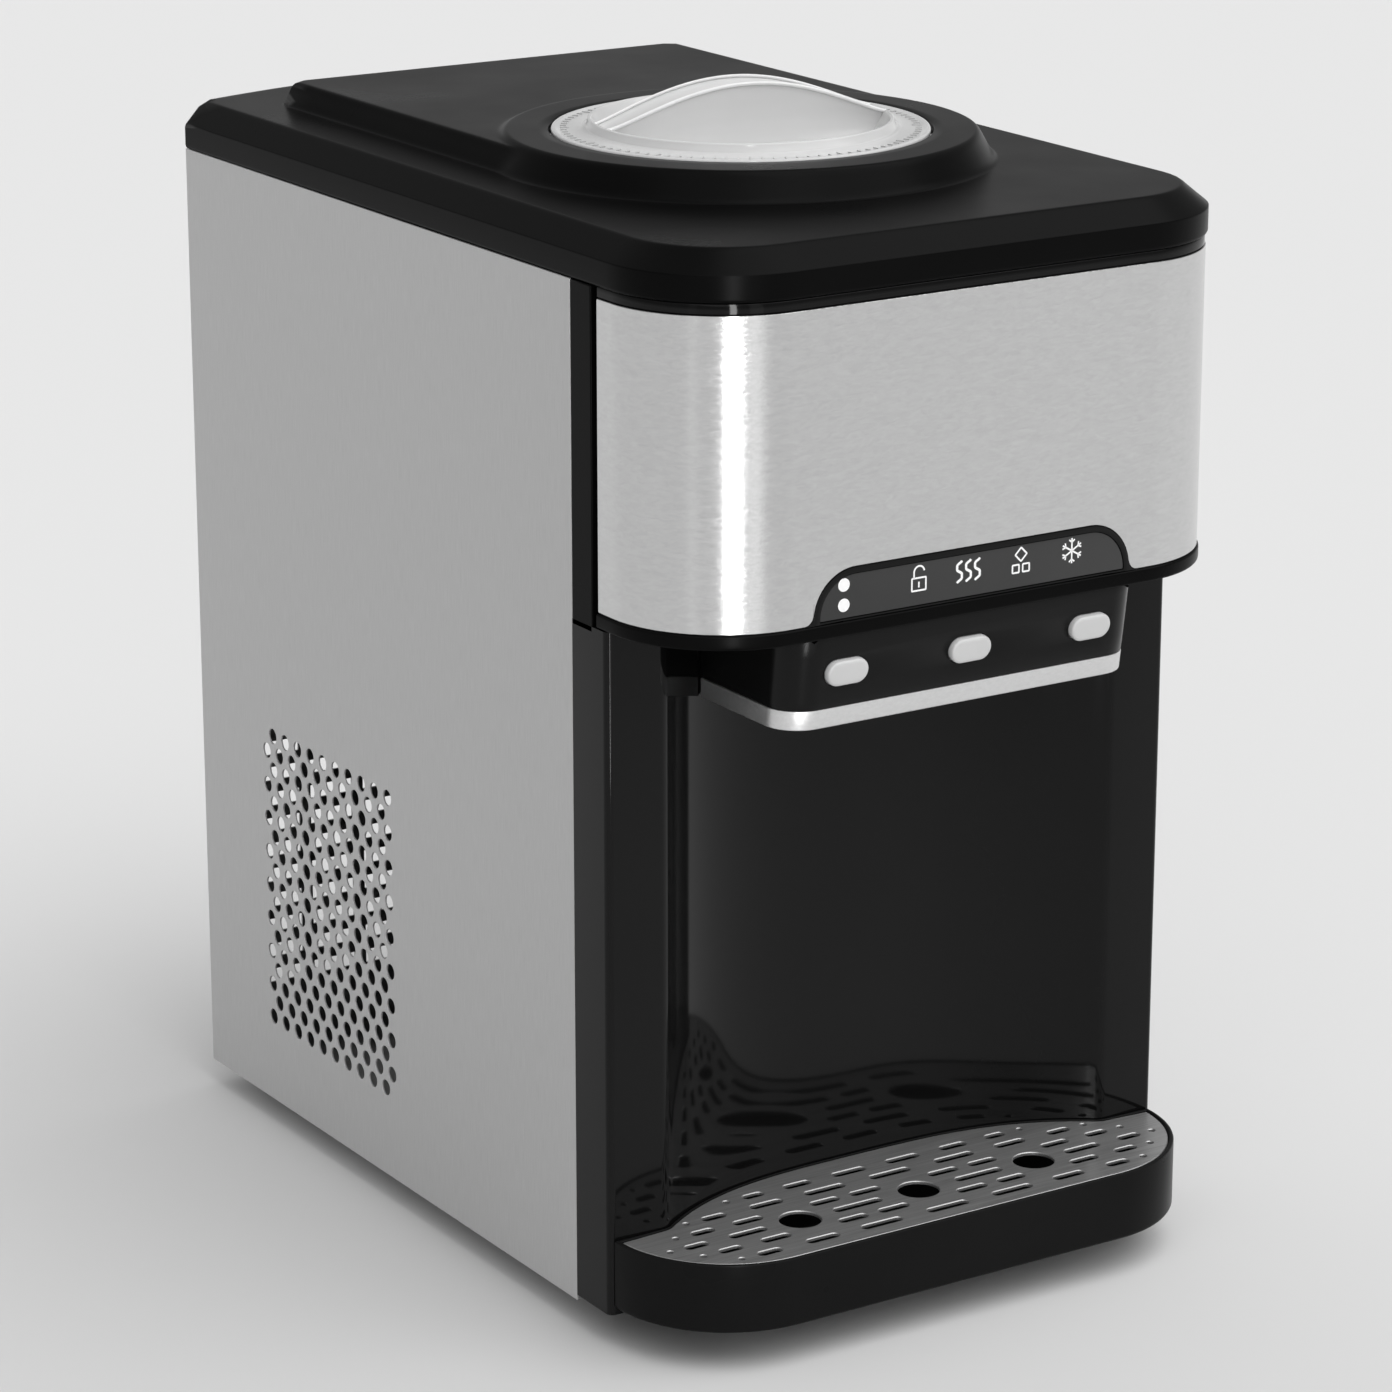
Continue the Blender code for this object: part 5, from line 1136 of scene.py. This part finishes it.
def tray_outline(inset):
    """The tray in plan, moved in from its outer face."""
    centre = (tray_half - tray_radius, column_y - tray_clearance)
    radius = tray_radius - inset
    sweep = 90 - math.degrees(math.asin(max(0.0, inset) / radius))
    steps = 24
    corner = [polar(centre, radius, sweep * i / steps - 90) for i in range(steps + 1)]
    rear = offset(
        rounded(niche_corners(corner[-1][0]), 8), -tray_clearance - inset * tray_rear_share
    )
    return mirrored(corner) + corner + rear[-2:0:-1]


# Inset and height of the tray's rings, from its underside over the rim to its floor
tray_profile = [
    (0.0012, tray_low), (0.0005, tray_low + 0.0003), (0.0001, tray_low + 0.0009),
    (0.0, tray_low + 0.0018), (0.0, tray_top - 0.0009), (0.00015, tray_top - 0.0004),
    (0.0005, tray_top - 0.0001), (0.0009, tray_top), (0.0014, tray_top),
    (0.0018, tray_top - 0.0002), (tray_rim, tray_top - 0.0006),
    (tray_rim, grille_seat), (tray_wall, grille_seat),
    (tray_wall, tray_floor + 0.0005), (tray_wall + 0.0005, tray_floor),
]
tray = new_object(
    "soft_rim_tray", stack([(tray_outline(inset), z) for inset, z in tray_profile]),
    "satin_black", body="drip_tray", smooth=40, look="tray_black",
)
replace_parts(tray, "drip_tray")

grille_half = 0.136
punch_height = 0.0044
dot_radius = 0.0015
cup_radius = 0.009
cup_pitch = 0.0602
row_pitch = 0.0107
first_row = front_y + 0.0124
cup_row = front_y + 0.0338
# Each row's slots by place and length, and its dot's place, as shares of the half width
row_a = ((0, 0.151), (0.246, 0.148), (0.464, 0.116), (0.656, 0.085)), 0.757
row_b = ((0.148, 0.111), (0.299, 0.104), (0.583, 0.104), (0.747, 0.081)), 0.844
row_c = ((0.229, 0.177), (0.633, 0.133), (0.819, 0.083)), 0.912
row_d = ((0.102, 0.123), (0.297, 0.100), (0.461, 0.074)), 0.560
punches = []
for row, (slot_shares, dot_share) in enumerate((row_a, row_b, row_c, row_b, row_a, row_d)):
    row_y = first_row + row * row_pitch
    for centre, length in slot_shares:
        for side in (-1, 1) if centre else (1,):
            punches.append(stadium((side * centre * grille_half, row_y), length * grille_half,
                                   punch_height, 10))
    for side in (-1, 1):
        punches.append(circle((side * dot_share * grille_half, row_y), dot_radius, 14))
for step in (-1, 0, 1):
    punches.append(circle((step * cup_pitch, cup_row), cup_radius, 40))
grille = bent_sheet(
    punched_sheet("punched_grille", tray_outline(0.0025), punches, grille_sheet, 0.00035, 0), [],
    flat_on_z(grille_seat + grille_lift + grille_sheet / 2),
)
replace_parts(sheet_piece(grille, "grille_steel", body="drip_grille", smooth=20), "drip_grille")


# Top cover: one skin from the recess over collar, plateau, top and chamfer to the skirt

cover_low = side_top
shoulder = 0.4586
cover_top = 0.4676
plateau_top = 0.4781
collar_top = 0.4801
recess_radius = 0.0812
recess_floor = 0.4756
recess_step = 0.0077
plateau_half = 0.1045
plateau_rear = back_y - 0.0236
plateau_corner = 0.006
rim_run = 0.011
plateau_run = 0.0045
collar_run = 0.007
collar_radius = 0.100
rear_rounding = 0.0015
rim_blend = 0.0007
flank_blend = 0.0022
collar_blend = 0.0026
join_blend = 0.0018
foot_blend = 0.0028
bow_radius = (half_width ** 2 + rear_bow ** 2) / (2 * rear_bow)
bow_centre = back_y + rear_bow - bow_radius
ray_count = 240
farthest = 0.32
halvings = 34


def soft_min(a, b, k):
    """The smaller of two heights, blended over a distance."""
    share = max(k - abs(a - b), 0.0) / k
    return min(a, b) - share * share * k / 4


def soft_max(a, b, k):
    """The larger of two heights, blended over a distance."""
    return -soft_min(-a, -b, k)


def rim_distance(x, y):
    """How far a point lies inside the cover's front and sides."""
    ax = abs(x)
    cx = half_width - corner_radius
    cy = front_y + corner_radius
    if ax > cx and y < cy:
        return corner_radius - math.hypot(ax - cx, y - cy)
    return min(half_width - ax, y - front_y)


def plateau_distance(x, y):
    """How far a point lies inside the plateau."""
    if y <= port_centre[1]:
        return plateau_half - math.hypot(x, y - port_centre[1])
    across = plateau_half - abs(x)
    along = plateau_rear - y
    if across < plateau_corner and along < plateau_corner:
        return plateau_corner - math.hypot(plateau_corner - across, plateau_corner - along)
    return min(across, along)


def cover_height(x, y):
    """The height of the cover's upper face: three slopes, blended where they meet."""
    radius = math.hypot(x - port_centre[0], y - port_centre[1])
    rim = shoulder + rim_distance(x, y) / rim_run * (cover_top - shoulder)
    flank = cover_top + plateau_distance(x, y) / plateau_run * (plateau_top - cover_top)
    fall = collar_top - (radius - collar_radius) / collar_run * (collar_top - cover_top)
    top = soft_min(cover_top, rim, rim_blend)
    flat = soft_min(plateau_top, flank, flank_blend)
    collar = soft_min(collar_top, fall, collar_blend)
    return soft_max(top, soft_max(flat, collar, join_blend), foot_blend)


def from_port(radius, turn):
    """A point in plan at a distance and a turn from the port's centre."""
    return port_centre[0] + radius * math.cos(turn), port_centre[1] + radius * math.sin(turn)


def ray_reach(turn, inside):
    """Where a ray from the port's centre leaves the area in which a rule holds."""
    near = 0.0
    far = farthest
    for _ in range(halvings):
        middle = (near + far) / 2
        if inside(*from_port(middle, turn)):
            near = middle
        else:
            far = middle
    return near


def rear_room(x, y):
    """How far a point lies in front of the bowed rear edge."""
    return bow_centre + math.sqrt(max(bow_radius ** 2 - x ** 2, 0.0)) - y


# Where the cover's rings lie: inside its rim, inside the plateau's foot, round the port
rim_steps = [0.0, 0.0003, 0.0008, 0.002, 0.0045, 0.007, 0.009, 0.0102, 0.0107, 0.011, 0.0113,
             0.0118, 0.0128, 0.0145, 0.018, 0.023]
foot_steps = [-0.008, -0.004, -0.0024, -0.0014, -0.0007, -0.0002, 0.0003, 0.0012, 0.0025, 0.0034,
              0.004, 0.0045, 0.005, 0.0058, 0.007, 0.009]
collar_steps = [0.0816, 0.086, 0.091, 0.0955, 0.0972, 0.0982, 0.099, 0.0997, 0.1004, 0.1015,
                0.103, 0.1045, 0.1056, 0.1064, 0.1072, 0.1082, 0.1095, 0.112]
turns = [math.radians(360 * i / ray_count) for i in range(ray_count)]
for corner_x in (half_width, -half_width):
    turns.append(math.atan2(back_y - port_centre[1], corner_x) % (2 * math.pi))
turns.sort()
rays = []
for turn in turns:
    edge_reach = ray_reach(turn, lambda x, y: rim_distance(x, y) > 0 and rear_room(x, y) > 0)
    radii = list(collar_steps)
    for step in foot_steps:
        reach_here = ray_reach(turn, lambda x, y, s=step: plateau_distance(x, y) > s)
        radii.append(min(max(reach_here, recess_radius + 0.0006), edge_reach - 0.0001))
    for step in rim_steps:
        reach_here = ray_reach(
            turn, lambda x, y, s=step: rim_distance(x, y) > s and rear_room(x, y) > min(s, 0.004)
        )
        radii.append(min(reach_here, edge_reach))
    radii = sorted(radii)
    radii[-1] = edge_reach
    rays.append([recess_radius] + radii)


def cover_ring(ring):
    """The points of one ring of the cover's upper face."""
    made = []
    for turn, radii in zip(turns, rays):
        x, y = from_port(radii[ring], turn)
        z = cover_height(x, y)
        short = max(0.0, rear_rounding - rear_room(x, y))
        if short:
            z -= rear_rounding - math.sqrt(max(0.0, rear_rounding ** 2 - short ** 2))
        made.append((x, y, z if ring else z - 0.0003))
    return made


def drawn_in(ring, inset, z):
    """A ring in plan again, drawn in towards the port's centre, at another height."""
    return [(*from_port(radii[ring] - inset, turn), z) for turn, radii in zip(turns, rays)]


recess_rings = [
    (recess_step, recess_floor - 0.005), (recess_step, recess_floor), (0.0005, recess_floor),
    (0.0005, collar_top - 0.0016),
]
skirt_rings = [
    (0.0, shoulder - 0.0022), (0.0, cover_low + 0.0016), (0.0002, cover_low + 0.0007),
    (0.0008, cover_low), (0.0025, cover_low), (0.0028, shoulder - 0.002),
    (0.0150, cover_top - 0.0035),
]
upper_rings = [cover_ring(ring) for ring in range(len(rays[0]))]
cover = new_object("soft_top_cover", skin(
    [drawn_in(0, inset, z) for inset, z in recess_rings] + upper_rings
    + [[(x, y, z - 0.0006) for x, y, z in upper_rings[-1]]]
    + [drawn_in(-1, inset, z) for inset, z in skirt_rings]
), "satin_black", smooth=60)
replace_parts(cover, "top_cover")


# Port lid: a milky dished disc with fine rings, ticks round its rim and a crescent grip

lid_seat = 0.4779
lid_top = 0.4806
dish_z = 0.4746
lip_top = lid_top + 0.0039
# Radius and height, from the underside's middle round the rim and lip to the dish's middle
lid_profile = [
    (0, dish_z - 0.002), (0.056, dish_z - 0.002), (0.0657, lid_seat - 0.002), (0.0677, lid_seat),
    (0.0796, lid_seat), (0.080, lid_seat + 0.0004), (0.080, lid_top - 0.0009),
    (0.0798, lid_top - 0.0004), (0.0793, lid_top), (0.0782, lid_top + 0.0001),
    (0.0772, lid_top - 0.0004), (0.0765, lid_top - 0.0006), (0.0680, lid_top - 0.0006),
    (0.0671, lid_top - 0.0002), (0.0664, lid_top + 0.0001), (0.0658, lid_top + 0.0001),
    (0.0653, lid_top + 0.0005), (0.0646, lip_top - 0.0006), (0.0643, lip_top - 0.0001),
    (0.0638, lip_top + 0.0001), (0.0632, lip_top), (0.0628, lip_top - 0.0005),
    (0.0614, lip_top - 0.0030), (0.0594, lip_top - 0.0062), (0.0576, lip_top - 0.0086),
    (0.0562, dish_z + 0.0005), (0.0548, dish_z), (0, dish_z),
]
tick_count = 96
long_every = 8
long_inner = 0.0722
short_inner = 0.0735
tick_outer = 0.0761
tick_half_turn = 0.24
tick_heights = (lid_top - 0.0008, lid_top - 0.0002)
tick_shapes = []
for tick in range(tick_count):
    turn = 360 * tick / tick_count
    inner = short_inner if tick % long_every else long_inner
    plan = [
        polar(port_centre, radius, turn + side * tick_half_turn)
        for radius, side in ((inner, -1), (tick_outer, -1), (tick_outer, 1), (inner, 1))
    ]
    tick_shapes.append(stack([(plan, z) for z in tick_heights]))
lid = new_object(
    "milky_lid", turned(lid_profile, 128, port_centre), "lid_plastic",
    body="port_lid", smooth=50,
)
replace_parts(lid, "port_lid")
ticks = new_object("lid_ticks", group(tick_shapes), "lid_plastic", body="port_lid",
                   look="tick_grey")
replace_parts(ticks, "port_lid")

grip_half = 0.0632
grip_rise = 0.0158
grip_sink = 0.0006
grip_thick = 0.0102
grip_waist = 0.0016
grip_flare = 0.0012
grip_hollow = 0.0022
grip_power = 1.3
grip_end_share = 0.75
front_bead = 0.0009
rear_bead = 0.0007
grip_steps = 56
grip_turn = Matrix.Rotation(math.radians(-10.5), 4, "Z")
grip_shares = [
    math.sin((-1 + 2 * i / grip_steps) * math.pi / 2) * 0.999 for i in range(grip_steps + 1)
]
lid_wall_low = 0.056
lid_wall_run = 0.0097
lid_wall_rise = 0.0053


def fullness(share):
    """How full the grip is, from 0 at its ends to 1 in its middle."""
    return (1 - share * share) ** 0.5


def grip_top_half(share):
    """Half the thickness of the grip's crest."""
    return grip_thick * (grip_end_share + (1 - grip_end_share) * fullness(share))


def grip_crest(share):
    """The height of the grip's arch, from -1 at its left end to 1 at its right."""
    rise = (grip_rise + grip_sink - 0.0004) * (1 - share * share) ** grip_power
    return lip_top - grip_sink + rise


def grip_place(x, across, z):
    """A point of the grip, which stands turned on the lid."""
    x, y, z = grip_turn @ Vector((x, across, z))
    return Vector((port_centre[0] + x, port_centre[1] + y, z))


def grip_foot(x):
    """The middle of the lid's wall under the grip."""
    return dish_z - 0.001 + max(0.0, abs(x) - lid_wall_low) / lid_wall_run * lid_wall_rise


def arch_points(side):
    """The front (-1) or rear (1) edge of the grip's crest."""
    return [
        grip_place(grip_half * share, side * grip_top_half(share), grip_crest(share))
        for share in grip_shares
    ]


grip_rings = []
for share in grip_shares:
    height = grip_crest(share) - 0.0006
    low = grip_foot(grip_half * share)
    tall = max(height - low, 0.0004)
    top_half = grip_top_half(share)
    waist = top_half - grip_waist * fullness(share)
    root = top_half + grip_flare
    hollow = min(grip_hollow, tall * 0.3) * fullness(share)
    section = [
        (-root, low), (-root * 0.98, low + tall * 0.06), (-waist * 1.04, low + tall * 0.2),
        (-waist, low + tall * 0.45), (-waist, low + tall * 0.75), (-top_half, low + tall * 0.95),
        (-top_half, height), (-top_half * 0.85, height - hollow * 0.45),
        (-top_half * 0.5, height - hollow * 0.9), (0, height - hollow),
    ]
    section = section + [(-y, z) for y, z in reversed(section[:-1])]
    grip_rings.append([grip_place(grip_half * share, y, z) for y, z in section])
grip = new_object("crescent_grip", loft(grip_rings), "lid_plastic", body="port_lid", smooth=60)
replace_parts(grip, "port_lid")


def bead(points, radius, sides=8):
    """A round bead along a line that runs mainly in x."""
    rings = []
    for i, point in enumerate(points):
        ahead = points[min(i + 1, len(points) - 1)] - points[max(i - 1, 0)]
        ahead.normalize()
        up = ahead.cross(Vector((0, -1, 0))).normalized()
        if up.z < 0:
            up = -up
        side_way = ahead.cross(up).normalized()
        rings.append([
            tuple(point + (up * math.sin(turn) + side_way * math.cos(turn)) * radius)
            for turn in (2 * math.pi * k / sides for k in range(sides))
        ])
    return loft(rings)


# The grip's edge beads are whiter and less clear than the lid: a painted highlight along the grip's
# edges
edge = Surface("lid_edge_painted_highlight", grey(240), 0.12, Transmission_Weight=0.1)
edge.colour(edge.noise((200, 200, 200)), grey(238), grey(244))
beads = new_object(
    "grip_edge_beads",
    group([bead(arch_points(-1), front_bead), bead(arch_points(1), rear_bead)]),
    "lid_plastic", body="port_lid", smooth=60, look="lid_edge_painted_highlight",
)
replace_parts(beads, "port_lid")


# The CAD nodes that stay get their slot's surface and softer edges

soft_edges = {
    0.0002: "control_board",
    0.0003: "mid_shelf lower_left_screw lower_right_screw upper_left_screw upper_right_screw",
    0.0004: "base_pan power_inlet heater_switch cooler_switch bottle_port fan_shroud",
    0.0005: "spout_plate ice_tray",
    0.0006: "service_plate water_reservoir ice_bin front_left_foot front_right_foot "
            "rear_left_foot rear_right_foot",
    0.0008: "compressor hot_tank cold_tank",
}
soft_nodes = {name: width for width, names in soft_edges.items() for name in names.split()}
slot_of = {part["node"]: part["material_slot"] for part in frame["record"]["subparts"]}
for name, item in nodes.items():
    for place in item.material_slots:
        place.material = surfaces[slot_of[name]]
    if name in soft_nodes:
        soften(item, soft_nodes[name])


low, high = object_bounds()
